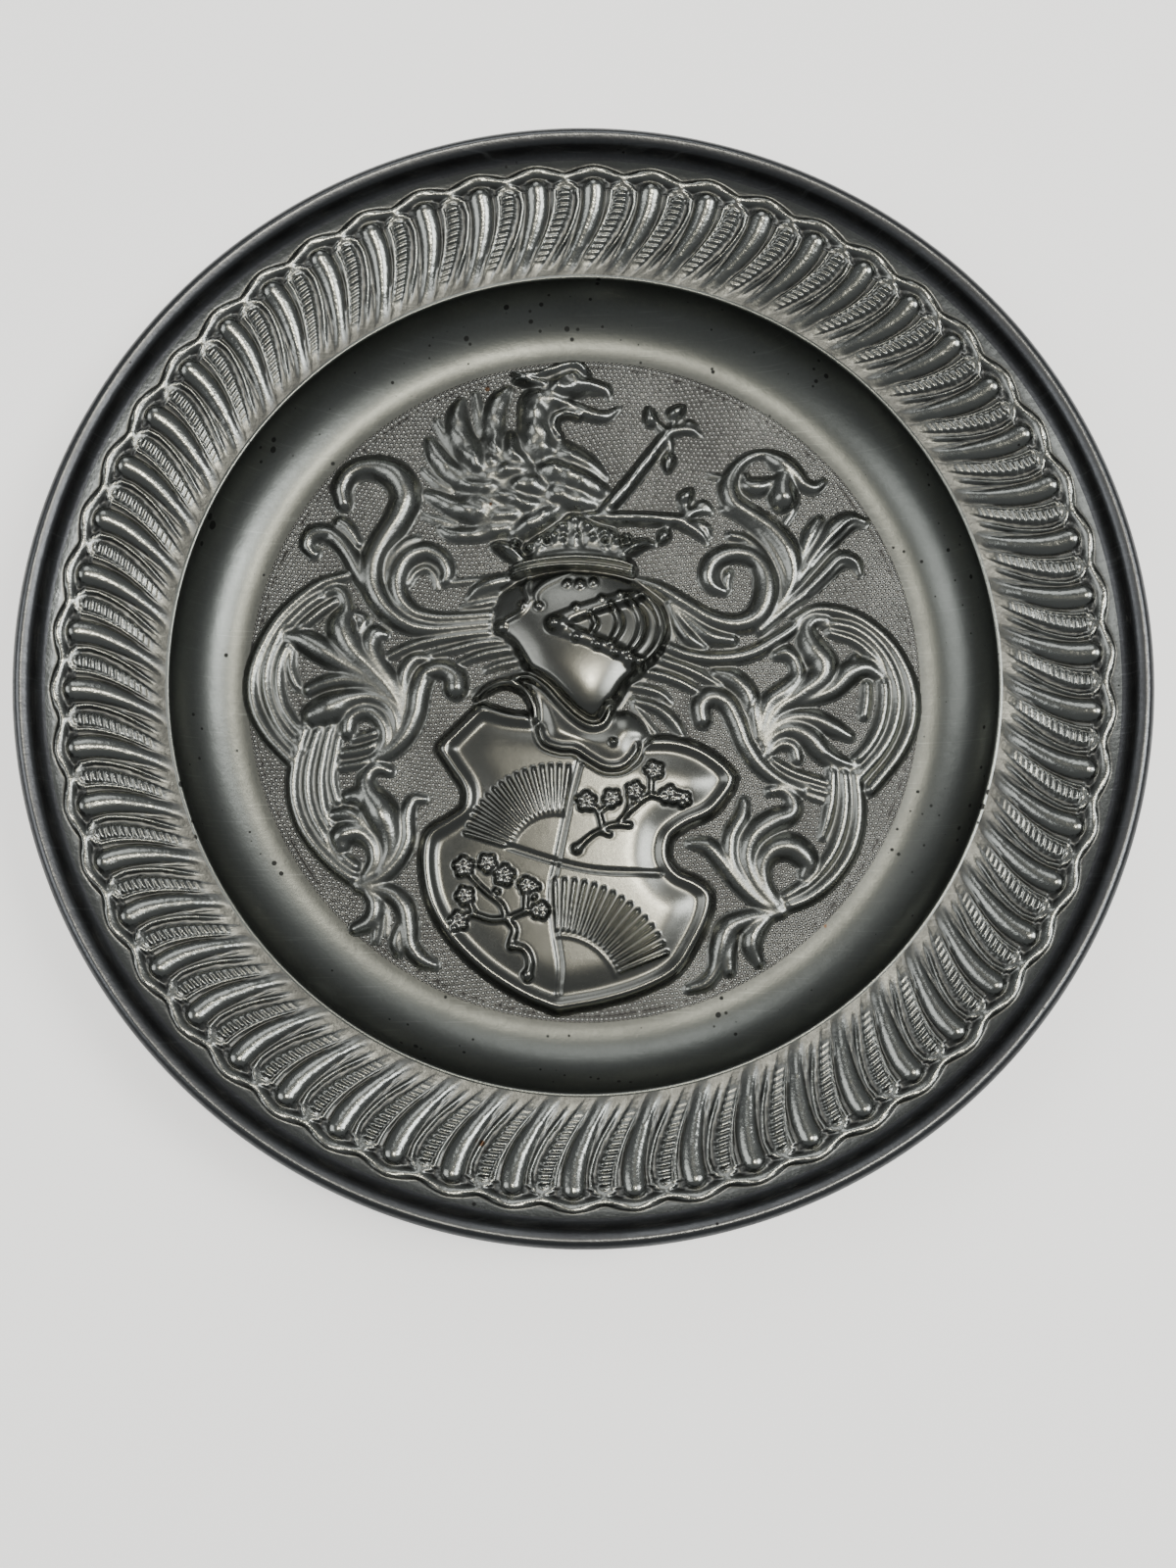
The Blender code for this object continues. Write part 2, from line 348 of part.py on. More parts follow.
def smooth(points, step):
    """Points close together along a flowing line through the given ones."""
    p = np.asarray(points, float)
    ends = np.vstack([2 * p[0] - p[1], p, 2 * p[-1] - p[-2]])
    ends[[0, -1], 2:] = p[[0, -1], 2:]
    runs = []
    for a, b, c, d in zip(ends, ends[1:], ends[2:], ends[3:]):
        count = max(2, int(math.hypot(c[0] - b[0], c[1] - b[1]) / step))
        t = np.linspace(0, 1, count, endpoint=False)[:, None]
        cubic = 3 * b - a - 3 * c + d
        runs.append(0.5 * (2 * b + (c - a) * t + (2 * a - 5 * b + 4 * c - d) * t**2 + cubic * t**3))
    return np.vstack(runs + [p[-1:]])


class Relief:
    """Heights over the medallion's ground, and how far each point lies outside what is raised."""

    axis = np.arange(-GROUND_R - 1, GROUND_R + 1 + SHEET_PITCH, SHEET_PITCH)

    def __init__(self):
        self.height = np.zeros((self.axis.size, self.axis.size))
        self.away = np.full(self.height.shape, 9.0)

    def window(self, low, high, margin):
        columns = slice(*np.searchsorted(self.axis, [low[0] - margin, high[0] + margin]))
        rows = slice(*np.searchsorted(self.axis, [low[1] - margin, high[1] + margin]))
        return rows, columns

    def roll(self, points, lift=None, top=None, adding=False):
        """A rounded bar along the points; its height is a share of its width, or top."""
        line = smooth(points, 0.6)
        raised = np.zeros(self.height.shape)
        for a, b in zip(line, line[1:]):
            reach = max(a[2], b[2]) / 2 + 1.2
            win = self.window(np.minimum(a, b), np.maximum(a, b), reach)
            x = self.axis[win[1]][None, :] - a[0]
            y = self.axis[win[0]][:, None] - a[1]
            dx, dy = b[:2] - a[:2]
            t = np.clip((x * dx + y * dy) / (dx * dx + dy * dy + 1e-12), 0, 1)
            off = np.hypot(x - t * dx, y - t * dy)
            half = (a[2] + (b[2] - a[2]) * t) / 2
            crest = lift * 2 * half if top is None else top
            bar = crest * np.maximum(0, 1 - (off / half) ** 2.2) ** 0.75
            raised[win] = np.maximum(raised[win], bar)
            if not adding:
                self.away[win] = np.minimum(self.away[win], off - half)
        self.height = self.height + raised if adding else np.maximum(self.height, raised)

    def rolls(self, many, **shape):
        for points in many:
            self.roll(points, **shape)

    def dome(self, x, y, radius, top, adding=False):
        self.roll([(x - 0.01, y, 2 * radius), (x + 0.01, y, 2 * radius)], top=top, adding=adding)

    def pillow(self, outline, top, shoulder, rounded=True):
        """A raised field inside a closed outline that rounds down over its shoulder."""
        p = np.asarray(outline, float)
        if rounded:
            p = smooth(np.vstack([p, p[:1]]), 1.5)[:-1]
        win = self.window(p.min(axis=0), p.max(axis=0), 1.5)
        x = self.axis[win[1]][None, :]
        y = self.axis[win[0]][:, None]
        inside = np.zeros((y.size, x.size), bool)
        near = np.full(inside.shape, 99.0)
        for a, b in zip(p, np.roll(p, -1, axis=0)):
            dx, dy = b - a
            crosses = (a[1] > y) != (b[1] > y)
            inside ^= crosses & (x < a[0] + (y - a[1]) / (dy if dy else 1.0) * dx)
            t = np.clip(((x - a[0]) * dx + (y - a[1]) * dy) / (dx * dx + dy * dy + 1e-12), 0, 1)
            near = np.minimum(near, np.hypot(x - a[0] - t * dx, y - a[1] - t * dy))
        share = np.clip(near / shoulder, 0, 1)
        body = np.where(inside, top * (1 - (1 - share) ** 2) ** 0.6, 0)
        self.height[win] = np.maximum(self.height[win], body)
        self.away[win] = np.minimum(self.away[win], np.where(inside, -near, near))

    def under(self, upper, gap=0.8):
        """This relief with another laid over it, pressed down close round the other's edge."""
        both = Relief()
        both.height = np.maximum(self.height * np.clip(upper.away / gap, 0, 1), upper.height)
        both.away = np.minimum(self.away, upper.away)
        return both


def mantling(ribbons, scrolls, leaves):
    folds = Relief()
    folds.rolls(ribbons, lift=RIBBON_LIFT)
    rolled = Relief()
    rolled.rolls(scrolls, lift=SCROLL_LIFT)
    foliage = Relief()
    foliage.rolls(leaves, lift=LEAF_LIFT)
    return folds.under(rolled).under(foliage)


def crest():
    wing = Relief()
    wing.pillow(BREAST, 1.6, 5)
    wing.rolls(WING, lift=0.46)
    wing.rolls(DOWN, lift=0.7)
    head = Relief()
    head.pillow(HEAD, 4.6, 7)
    head.rolls(HEAD_RIDGES, top=2.8)
    legs = Relief()
    legs.rolls(LEGS, lift=0.6)
    for x, y, tip_x, tip_y in TOES:
        legs.roll([(x, y, 4.6), ((x + tip_x) / 2, (y + tip_y) / 2, 3.2), (tip_x, tip_y, 1)], top=2.6)
    return wing.under(head).under(legs)


def shield():
    field = Relief()
    corners = [point for side in SHIELD_SIDES[:4] for point in side[:-1]]
    field.pillow(corners + [(15, -17), (-5, -10), (-21, -10)], 1.15, 1.2, rounded=False)
    for side in SHIELD_SIDES:
        field.roll([(x, y, BORDER) for x, y in side], top=2.7)
    for line in (((-1.4, -23), (-7.8, -51.4), (-9.3, -60), (-6.8, -80), (-7.3, -87.5)),
                 ((-21.5, -47), (-8, -51.2), (4, -53.7), (21, -54.3))):
        field.roll([(x, y, 1.4) for x, y in line], top=1.8)
    for (x, y), disc, (start, stop), (first, last), rays in SUNS:
        for turn in np.radians(np.linspace(first, last, rays)):
            way = np.array([math.cos(turn), math.sin(turn)])
            ends = [(x + way[0] * r, y + way[1] * r, w) for r, w in ((start, 0.9), (stop - 0.8, 1.9))]
            field.roll(ends, top=1.75)
        arc = np.radians(np.linspace(first, last, 12))
        field.roll([(x + disc * math.cos(a), y + disc * math.sin(a), 1.4) for a in arc], top=1.5)
    sprigs = Relief()
    for line in TWIGS:
        sprigs.roll([(x, y, 2) for x, y in line], top=2.2)
    for x, y in BLOSSOMS:
        sprigs.dome(x, y, BLOSSOM_R, 2.5)
    return field.under(sprigs, 0.5)


def helmet():
    shell = Relief()
    shell.pillow(HELMET, 6.4, 15)
    shell.rolls(VISOR, top=1.2, adding=True)
    for x, y, radius in RIVETS:
        shell.dome(x, y, radius, 1.4, adding=True)
    return shell


def gorget():
    plate = Relief()
    plate.pillow(GORGET, 3.4, 3.6)
    plate.rolls(GORGET_ROLLS, top=4.0)
    plate.dome(8, -17, 2.4, 4.6)
    return plate


def crown():
    band = Relief()
    band.pillow(CROWN_BAND, 5.4, 2.4)
    band.rolls(CROWN_LEAVES, top=4.4)
    return band


def medallion():
    """All of the carving together, from what lies lowest to what lies on top."""
    whole = mantling(LEFT_RIBBONS, LEFT_SCROLLS, LEFT_LEAVES)
    right = mantling(RIGHT_RIBBONS, RIGHT_SCROLLS, RIGHT_LEAVES)
    whole.height = np.maximum(whole.height, right.height)
    for upper in (crest(), shield(), helmet(), gorget(), crown()):
        whole = whole.under(upper)
    return whole


CARVING = medallion()


def carved(x, y):
    """The carving's height at plan points, read between the sheet's points."""
    axis = Relief.axis
    i = np.clip(((x - axis[0]) / SHEET_PITCH).astype(int), 0, axis.size - 2)
    j = np.clip(((y - axis[0]) / SHEET_PITCH).astype(int), 0, axis.size - 2)
    u = (x - axis[i]) / SHEET_PITCH
    v = (y - axis[j]) / SHEET_PITCH
    h = CARVING.height
    low = h[j, i] * (1 - u) + h[j, i + 1] * u
    high = h[j + 1, i] * (1 - u) + h[j + 1, i + 1] * u
    return low * (1 - v) + high * v


def turned(r):
    """The plate's face without its carving, at a radius."""
    arc = (WELL_EDGE[0] - GROUND_R, WELL_EDGE[1] - GROUND_Z)
    share = np.clip((r - GROUND_R) / arc[0], 0, 1)
    well = GROUND_Z + arc[1] * (1 - np.sqrt(1 - np.minimum(share, 0.9999) ** 2))
    stations = (WELL_EDGE, (113.6, 18.9), (115, 18.6), FLUTE_INNER, FLUTE_OUTER, (141.4, 26.2),
                COVE, (143.8, 28.6), (144.8, 30.4), (145.6, 32.2), (146.4, 33.3), BEAD_TOP,
                (148.6, 33.5), (149.5, 32.8), (EDGE_R, EDGE_Z))
    rim = np.interp(r, [s[0] for s in stations], [s[1] for s in stations])
    return np.where(r < WELL_EDGE[0], well, rim)


def fluted(r, angle):
    """The rise of the rim's flutes, arches and rope rows; angle is counter-clockwise from +X."""
    inward = np.clip((139 - r) / 21, 0, 1.1)
    pitch = 360 / FLUTES
    drift = FLUTE_DRIFT * np.cos(angle - FLUTE_DRIFT_FROM)
    turn = np.degrees(angle) - FLUTE_PHASE + drift - FLUTE_SWIRL * inward**1.7
    turn = (turn + pitch / 2) % pitch - pitch / 2
    side = np.radians(turn) * r
    centre = FLUTE_OUTER[0] - FLUTE_HALF
    taper = np.interp(r, [FLUTE_INNER[0], 119, 120.5, 125, centre], [0.1, 1.3, 1.9, 2.7, FLUTE_HALF])
    cap = np.sqrt(np.maximum(FLUTE_HALF**2 - np.maximum(r - centre, 0) ** 2, 0.01))
    half = np.where(r > centre, cap, taper)
    rise = np.interp(r, [FLUTE_INNER[0], 125, centre], [0.5, 1.5, FLUTE_RISE])
    flute = rise * np.maximum(0, 1 - (side / half) ** 2) ** 0.7
    flute = np.where((r > FLUTE_INNER[0]) & (r < FLUTE_OUTER[0]), flute, 0)
    arch = ARCH_R - ARCH_DIP * (2 * turn / pitch) ** 2
    arch_rise = 1.3 * np.maximum(0, 1 - ((r - arch) / 1.3) ** 2)
    rope_turn = (turn + ROPE_TURN + pitch / 2) % pitch - pitch / 2
    rope_half = np.interp(r, [118, 121, 136, 137.2], [0.1, 1.0, 1.2, 0.1])
    rope_rise = np.interp(r, [119, 136], [0.1, 1.2])
    rope = rope_rise * np.maximum(0, 1 - (np.radians(rope_turn) * r / rope_half) ** 2)
    leg = half + 1.25
    legs = 0.8 * np.maximum(0, 1 - ((np.abs(side) - leg) / 0.8) ** 2)
    legs = np.where((r > 119) & (r < 140), legs, 0)
    return np.maximum.reduce([flute, arch_rise, rope, legs])


def face_height(r, angle):
    relief = np.where(r < GROUND_R, carved(r * np.cos(angle), r * np.sin(angle)), 0)
    flutes = np.where((r > 116) & (r < 144), fluted(r, angle), 0)
    return turned(r) + relief + flutes


def ring_angles(count):
    return np.arange(count) * 2 * math.pi / count


def face_rings():
    """(radius, points, carved) of each ring of the face, from the middle out."""
    full = FLUTES * 14
    rings = [(r, full // 14, True) for r in np.arange(2, 9, 1.2)]
    rings += [(r, full // 7, True) for r in np.arange(9, 18, 1.1)]
    rings += [(r, full // 7 * 2, True) for r in np.arange(18, 36, 1.0)]
    rings += [(r, full // 7 * 4, True) for r in np.arange(36, GROUND_R - 0.6, 0.95)]
    rings += [(r, FLUTES * 2, False) for r in (GROUND_R, 102.5, 108, 111.4, 112.9, 113.8, 115.2)]
    rings += [(r, full, True) for r in np.arange(116.4, 142.3, 1.0)]
    rings += [(r, FLUTES * 2, False) for r in (142.8, 144.7, 145.8, 147.4, 149.2)]
    return rings


def under_rings():
    """(radius, height, points) of the underside, from the edge in."""
    rings = [(EDGE_R, EDGE_Z, FLUTES * 2), (148.6, 29.6, FLUTES * 2), (*UNDER_EDGE, FLUTES * 2)]
    for turn in np.radians((90, 68, 46, 24)):
        rings.append((FOOT_R + (UNDER_RIM[0] - FOOT_R) * math.sin(turn),
                      UNDER_RIM[1] * (1 - math.cos(turn)), FLUTES))
    rings.append((FOOT_R, 0.0, FLUTES))
    return rings


def bridge(inner, few, outer, many):
    """Triangles between two rings whose counts differ, each step taken on the ring that lags."""
    faces = []
    i = 0
    j = 0
    while i < few or j < many:
        if j < many and (i == few or (j + 1) * few <= (i + 1) * many):
            faces.append((inner + i % few, outer + j % many, outer + (j + 1) % many))
            j += 1
        else:
            faces.append((inner + i % few, outer + j % many, inner + (i + 1) % few))
            i += 1
    return faces


def build_plate():
    places = [(0.0, 0.0, float(face_height(np.array([0.01]), np.array([0.0]))[0]))]
    rings = []
    loose = [0]
    for r, count, is_carved in face_rings():
        angle = ring_angles(count)
        z = face_height(np.full(count, float(r)), angle)
        rings.append((len(places), count))
        places.extend(zip(r * np.cos(angle), r * np.sin(angle), z))
        if is_carved:
            loose.extend(range(len(places) - count, len(places)))
    for r, z, count in under_rings():
        angle = ring_angles(count)
        rings.append((len(places), count))
        places.extend(zip(r * np.cos(angle), r * np.sin(angle), np.full(count, z)))
    middle = len(places)
    places.append((0.0, 0.0, 0.0))

    faces = []
    first, count = rings[0]
    for k in range(count):
        faces.append((0, first + k, first + (k + 1) % count))
    for (inner, few), (outer, many) in zip(rings, rings[1:]):
        if few == many:
            for k in range(few):
                n = (k + 1) % few
                faces.append((inner + k, outer + k, outer + n, inner + n))
        else:
            faces.extend(bridge(inner, few, outer, many))
    last, count = rings[-1]
    for k in range(count):
        faces.append((last + k, middle, last + (k + 1) % count))

    mesh = bpy.data.meshes.new("plate")
    mesh.from_pydata([(x * MM, y * MM, z * MM) for x, y, z in places], [], faces)
    mesh.validate()
    plate = bpy.data.objects.new("plate", mesh)
    group = plate.vertex_groups.new(name="carving")
    group.add(loose, 1.0, "REPLACE")
    return plate


def pewter():
    material = bpy.data.materials.new("pewter")
    material.use_nodes = True
    shader = material.node_tree.nodes["Principled BSDF"]
    shader.inputs["Base Color"].default_value = (0.33, 0.33, 0.32, 1)
    shader.inputs["Metallic"].default_value = 1.0
    shader.inputs["Roughness"].default_value = 0.35
    return material


collection = bpy.data.collections.new("pewter wall plate")
bpy.context.scene.collection.children.link(collection)
plate = build_plate()
collection.objects.link(plate)
plate.data.materials.append(pewter())

# The face holds far more points than the carving needs: flat and straight stretches are thinned.
start = sum(len(face.vertices) - 2 for face in plate.data.polygons)
thin = plate.modifiers.new("thin", "DECIMATE")
thin.ratio = TARGET_TRIANGLES / start
thin.use_collapse_triangulate = True
thin.vertex_group = "carving"
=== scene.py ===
# %% [markdown]
# # A pewter wall plate
# The plate is one casting: a rolled edge, a cove, a scalloped cord, a rim of swirling flutes between
# rope rows, a hollow well, and a medallion in relief on a punched ground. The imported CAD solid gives
# its size and place. Here each zone of its face is made again as a fine surface that keeps the
# solid's form, and one family of pewter materials covers them all.

import json
import math

import bpy
import numpy as np
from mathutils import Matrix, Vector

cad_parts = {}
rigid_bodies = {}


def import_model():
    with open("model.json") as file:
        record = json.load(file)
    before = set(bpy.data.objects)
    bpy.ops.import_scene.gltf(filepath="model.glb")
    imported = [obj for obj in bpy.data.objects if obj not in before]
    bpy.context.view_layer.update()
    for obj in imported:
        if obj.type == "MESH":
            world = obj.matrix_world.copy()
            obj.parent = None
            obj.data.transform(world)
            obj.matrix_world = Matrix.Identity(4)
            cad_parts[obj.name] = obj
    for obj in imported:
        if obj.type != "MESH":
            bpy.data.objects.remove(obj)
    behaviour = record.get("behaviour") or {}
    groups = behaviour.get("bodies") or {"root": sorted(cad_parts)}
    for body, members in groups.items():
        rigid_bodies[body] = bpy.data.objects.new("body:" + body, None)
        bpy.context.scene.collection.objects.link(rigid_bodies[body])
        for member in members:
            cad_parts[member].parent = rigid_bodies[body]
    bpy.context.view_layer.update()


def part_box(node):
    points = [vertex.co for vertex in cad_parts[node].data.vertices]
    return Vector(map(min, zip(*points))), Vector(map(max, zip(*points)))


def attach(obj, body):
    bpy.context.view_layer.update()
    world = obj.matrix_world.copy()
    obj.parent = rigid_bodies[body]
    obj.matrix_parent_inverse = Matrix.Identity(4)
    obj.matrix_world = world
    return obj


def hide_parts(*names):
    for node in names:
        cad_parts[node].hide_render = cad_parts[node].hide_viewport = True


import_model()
low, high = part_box("plate")
MM = 0.001
EDGE_R = (high.x - low.x) / 2 / MM
TOP_Z = high.z / MM
print(f"the plate is {2 * EDGE_R:.1f} mm across and {TOP_Z:.1f} mm high")

# %% [markdown]
# ## Sizes
# Drawing sizes are in millimetres, because that is how a plate is measured on the bench. All the
# zones share these radii, so that one zone begins exactly where the last one ends. The heights are
# those of the solid: the ground of the medallion lies low, and the rim climbs to the rolled edge.

# %% Radii and heights of the zones
GROUND_R = 95.9
GROUND_Z = 2.5
PUNCH_DEPTH = 0.26
LIP_R = 113.0
LIP_Z = 18.8
LIP_ROUNDING = 0.5
BAND_R = 114.0
BAND_Z = LIP_Z - 0.1
CORD_R = 143.2
CORD_Z = 27.4
FLUTE_BASE = ((BAND_R, BAND_Z), (117.2, 19.1), (122, 20.3), (130, 22.6), (139.2, 25.3), (140.6, 25.6),
              (141.8, 26.3), (142.6, 26.9), (CORD_R, CORD_Z))
print(f"the well is {LIP_R - GROUND_R:.1f} mm wide and {LIP_Z - GROUND_Z:.1f} mm deep")

# %% [markdown]
# ## One helper for every surface
# Every zone is a grid of points: rows and columns that a formula fills. A turned zone's columns run
# round the axis and close on themselves, so its last column joins its first. The helper puts whole
# arrays into the mesh at once, and keeps one number per point, hollow, which says how deep the point
# lies below what is round it. The patina reads it later: 1 is a deep hollow, 0 a bare ridge.
# On the lip, the rolled edge and the punched dots the number also paints highlights, and on the rolled
# edge shade too.


# %% A mesh from a grid of points
def add_object(name, data):
    """An object that holds the data, in the scene."""
    thing = bpy.data.objects.new(name, data)
    bpy.context.scene.collection.objects.link(thing)
    return thing


def add_piece(name, points, face_sets, hollow, normals=None):
    """A mesh object from points in mm and sets of faces, one array for each number of corners. It
    rides on the plate and stands for its solid."""
    corners = np.concatenate([faces.ravel() for faces in face_sets]).astype(np.int32)
    sizes = np.concatenate([np.full(len(faces), faces.shape[1]) for faces in face_sets])
    mesh = bpy.data.meshes.new(name)
    mesh.vertices.add(len(points))
    mesh.vertices.foreach_set("co", (points * MM).astype(np.float32).ravel())
    mesh.loops.add(len(corners))
    mesh.loops.foreach_set("vertex_index", corners)
    mesh.polygons.add(len(sizes))
    mesh.polygons.foreach_set("loop_start", (np.cumsum(sizes) - sizes).astype(np.int32))
    mesh.update(calc_edges=True)
    mesh.shade_smooth()
    if normals is not None:
        mesh.normals_split_custom_set_from_vertices(normals.tolist())
    shade = mesh.attributes.new("hollow", "FLOAT", "POINT")
    shade.data.foreach_set("value", np.clip(hollow, 0, 1).astype(np.float32).ravel())
    piece = add_object(name, mesh)
    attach(piece, "root")
    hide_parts("plate")
    print(f"{name}: {(sizes - 2).sum()} triangles")


def ring_faces(rows, columns):
    """Quads between neighbouring rings, the last column joined to the first."""
    index = np.arange(rows * columns).reshape(rows, columns)
    after = np.roll(index, -1, axis=1)
    return np.stack([index[:-1], index[1:], after[1:], after[:-1]], axis=-1).reshape(-1, 4)


def around(columns):
    """Angles of evenly spaced columns round the axis, as one row."""
    return np.arange(columns)[None, :] * 2 * math.pi / columns


def turned(profile, columns):
    """Points of a profile of (radius, height) carried once round the axis."""
    r, z = np.asarray(profile, float).T[:, :, None]
    angle = around(columns)
    flat = np.zeros(columns)
    return np.stack([r * np.cos(angle), r * np.sin(angle), z + flat], axis=-1).reshape(-1, 3)


def add_turned(name, profile, columns, hollow):
    """A turned zone; hollow holds one value for each point of its profile."""
    add_piece(name, turned(profile, columns), [ring_faces(len(profile), columns)],
              np.repeat(hollow, columns))


def flowing(points, step):
    """Points close together on a smooth line through the given ones; each span is a cubic that leaves
    a point in the direction between its two neighbours. Extra columns, such as a width, flow too."""
    p = np.asarray(points, float)
    ends = np.vstack([2 * p[0] - p[1], p, 2 * p[-1] - p[-2]])
    ends[[0, -1], 2:] = p[[0, -1], 2:]
    spans = []
    for a, b, c, d in zip(ends, ends[1:], ends[2:], ends[3:]):
        count = max(2, int(math.hypot(c[0] - b[0], c[1] - b[1]) / step))
        t = np.linspace(0, 1, count, endpoint=False)[:, None]
        cubic = 3 * b - a - 3 * c + d
        spans.append(0.5 * (2 * b + (c - a) * t + (2 * a - 5 * b + 4 * c - d) * t**2 + cubic * t**3))
    return np.vstack(spans + [p[-1:]])


def softened(field, cells, passes=2):
    """The field with each value replaced by the mean of its neighbours, first along, then across."""
    for axis in (0, 1):
        for _ in range(passes):
            total = sum(np.roll(field, shift, axis=axis) for shift in range(-cells, cells + 1))
            field = total / (2 * cells + 1)
    return field


# %% [markdown]
# ## The turned zones
# The well, the cove with its rolled edge, and the back were spun or turned, so each is a profile
# carried round the axis. A profile is the natural way to draw them: the maker's template had the same
# line. The well is a quarter round that is steep at the lip and dies into the ground.

# %% The well, from the ground to the lip
WELL_COLUMNS = 300
sweep = np.linspace(0, math.pi / 2, 40)
well_r = GROUND_R + (LIP_R - GROUND_R) * np.sin(sweep)
well_z = GROUND_Z + (LIP_Z - LIP_ROUNDING - GROUND_Z) * (1 - np.cos(sweep))
well_profile = [(GROUND_R - 0.4, GROUND_Z - 0.02), *zip(well_r, well_z)]
well_hollow = np.concatenate([np.linspace(0.75, 0.45, 8), np.full(len(well_profile) - 8, 0.42)])
add_turned("well", well_profile, WELL_COLUMNS, well_hollow)
lip_profile = flowing([(LIP_R, LIP_Z - LIP_ROUNDING), (LIP_R + 0.15, LIP_Z - 0.2),
                       (LIP_R + 0.5, LIP_Z - 0.05), (BAND_R, BAND_Z)], 0.15)
# the rounded lip gets the lowest number, a painted highlight along the edge of the well
lip_patina_and_painted_highlight = np.interp(lip_profile[:, 0], [LIP_R, LIP_R + 0.4, BAND_R], [0.3, 0.1, 0.25])
add_turned("lip", lip_profile, WELL_COLUMNS, lip_patina_and_painted_highlight)

# %% The cove and the rolled edge
EDGE_COLUMNS = 288
edge_profile = flowing([
    (CORD_R, CORD_Z), (143.9, 27.95), (144.5, 28.7), (144.85, 29.5), (145.0, 30.4), (145.1, 31.5),
    (145.35, 32.25), (145.9, 32.9), (146.7, 33.4), (147.6, TOP_Z), (148.5, 33.5), (149.3, 32.9),
    (149.85, 32.2), (EDGE_R, 31.4), (149.85, 30.6), (149.2, 29.8), (148.2, 29.3),
], 0.26)
# the cove's numbers are its patina; the darkest one, in the step under the bead, adds painted shade, and
# the low one on the bead's crest is a painted highlight
edge_patina_and_painted_light = np.interp(edge_profile[:, 0], [CORD_R, 144.4, 144.9, 145.1, 145.4, 146.4, 147.6, 149, 150],
                        [0.6, 0.55, 0.7, 1.0, 0.45, 0.5, 0.25, 0.45, 0.5])
add_turned("rolled_edge", edge_profile, EDGE_COLUMNS, edge_patina_and_painted_light)

# %% The plain back, about 2 mm under the face
BACK_COLUMNS = 216
back_curve = flowing([(148.2, 29.3), (146, 28.3), (143.4, 26.6), (130, 20.6), (115.6, 16.4),
                      (113.6, 14.6), (111, 9.6), (106, 4.2), (99, 0.9), (94.6, 0.05)], 2.0)
back_profile = np.vstack([back_curve, [(93.5, 0), (60, 0), (30, 0), (8, 0)]])
back_points = np.vstack([turned(back_profile, BACK_COLUMNS), [(0, 0, 0)]])
middle = len(back_points) - 1
last_ring = np.arange(middle - BACK_COLUMNS, middle)
back_fan = np.stack([last_ring, np.full(BACK_COLUMNS, middle), np.roll(last_ring, -1)], axis=-1)
back_r = np.hypot(*back_points[:, :2].T)
back_hollow = np.interp(back_r, [93, 97, 112, 118, 140], [0.3, 0.5, 0.4, 0.8, 0.4])
add_piece("back", back_points, [ring_faces(len(back_profile), BACK_COLUMNS), back_fan], back_hollow)

# %% [markdown]
# ## The fluted rim
# The rim repeats one motif: a teardrop flute with a round outer end, a fillet that runs round its
# end and down its side, a row of rope and a thin ridge, all leaning into a swirl towards the well.
# The solid has the flutes; here each ridge gets its own height. A grid on plain polar columns would
# cut across the ridges and make them ragged, so the columns lean with the swirl: then every ridge
# runs along a column, and few points draw it cleanly.

# %% Sizes of one repeat
REPEATS = 54
PITCH = 360 / REPEATS
PHASE = 2.2
PHASE_DRIFT = 0.65
PHASE_DRIFT_FROM = math.radians(-14)
SWIRL = 3.8
SWIRL_FROM_R = 134
SWIRL_WIDTH = 19
CAP_R = 135.9
SCALLOP_R = 142.3
SCALLOP_DEPTH = 1.9
CORD_RISE = 1.1
OUTLINE_RISE = 0.5
VALLEY_DEPTH = 0.3
ROPE_ROUNDS = 15.5
ROPE_LENGTH = 22.6
ROPE_SLANT = 0.035
# stations of (radius, size), and of (radius, distance from the middle line) for the legs and the rope
FLUTE_HALF = ((114, 1.8), (119, 2.3), (125, 2.95), (133, 3.35), (CAP_R, 3.4))
FLUTE_RISE = ((114, 0.0), (117, 0.75), (121, 1.5), (128, 2.0), (CAP_R, 2.3))
LEG_AFTER = ((114, 5.4), (119, 5.2), (125, 4.5), (133, 4.15), (CAP_R, 4.6), (138.3, 6.4))
LEG_BEFORE = ((114, 2.6), (119, 3.05), (125, 3.8), (133, 4.65), (CAP_R, 4.9), (138.3, 6.4))
ROPE_AWAY = ((114, 4.0), (119, 4.8), (125, 5.7), (133, 7.4), (137, 7.85))
ROPE_HALF = ((114, 1.3), (119, 1.6), (125, 1.9), (134.5, 2.05), (136, 1.7), (136.8, 0.1))
ROPE_RISE = ((114.5, 0), (118, 0.5), (122, 0.95), (130, 1.35), (135.6, 1.45), (136.8, 1.0))
print(f"{REPEATS} repeats, one every {PITCH:.2f} degrees")


# %% Heights of the flutes
def along_radius(stations, r):
    """A size that changes with the radius, straight between the given stations."""
    return np.interp(r, *np.asarray(stations, float).T)


def rounded(offset, half):
    """A round back: 1 on the middle line, falling with the square of the offset, 0 past half."""
    return np.maximum(0, 1 - (offset / half) ** 2)


def rising(past, width):
    """0 before a place, 1 once past it by the width, and straight between."""
    return np.clip(past / width, 0, 1)


def swirl(r):
    """How far, in degrees, a flute has leaned over once it has come in from its round end."""
    return SWIRL * (np.maximum(SWIRL_FROM_R - r, 0) / SWIRL_WIDTH) ** 1.75


def scallop(turn):
    """The radius of the rim's outer line: an arch over each flute, with a sharp corner between two."""
    return SCALLOP_R - SCALLOP_DEPTH * np.abs(2 * turn / PITCH) ** 1.6


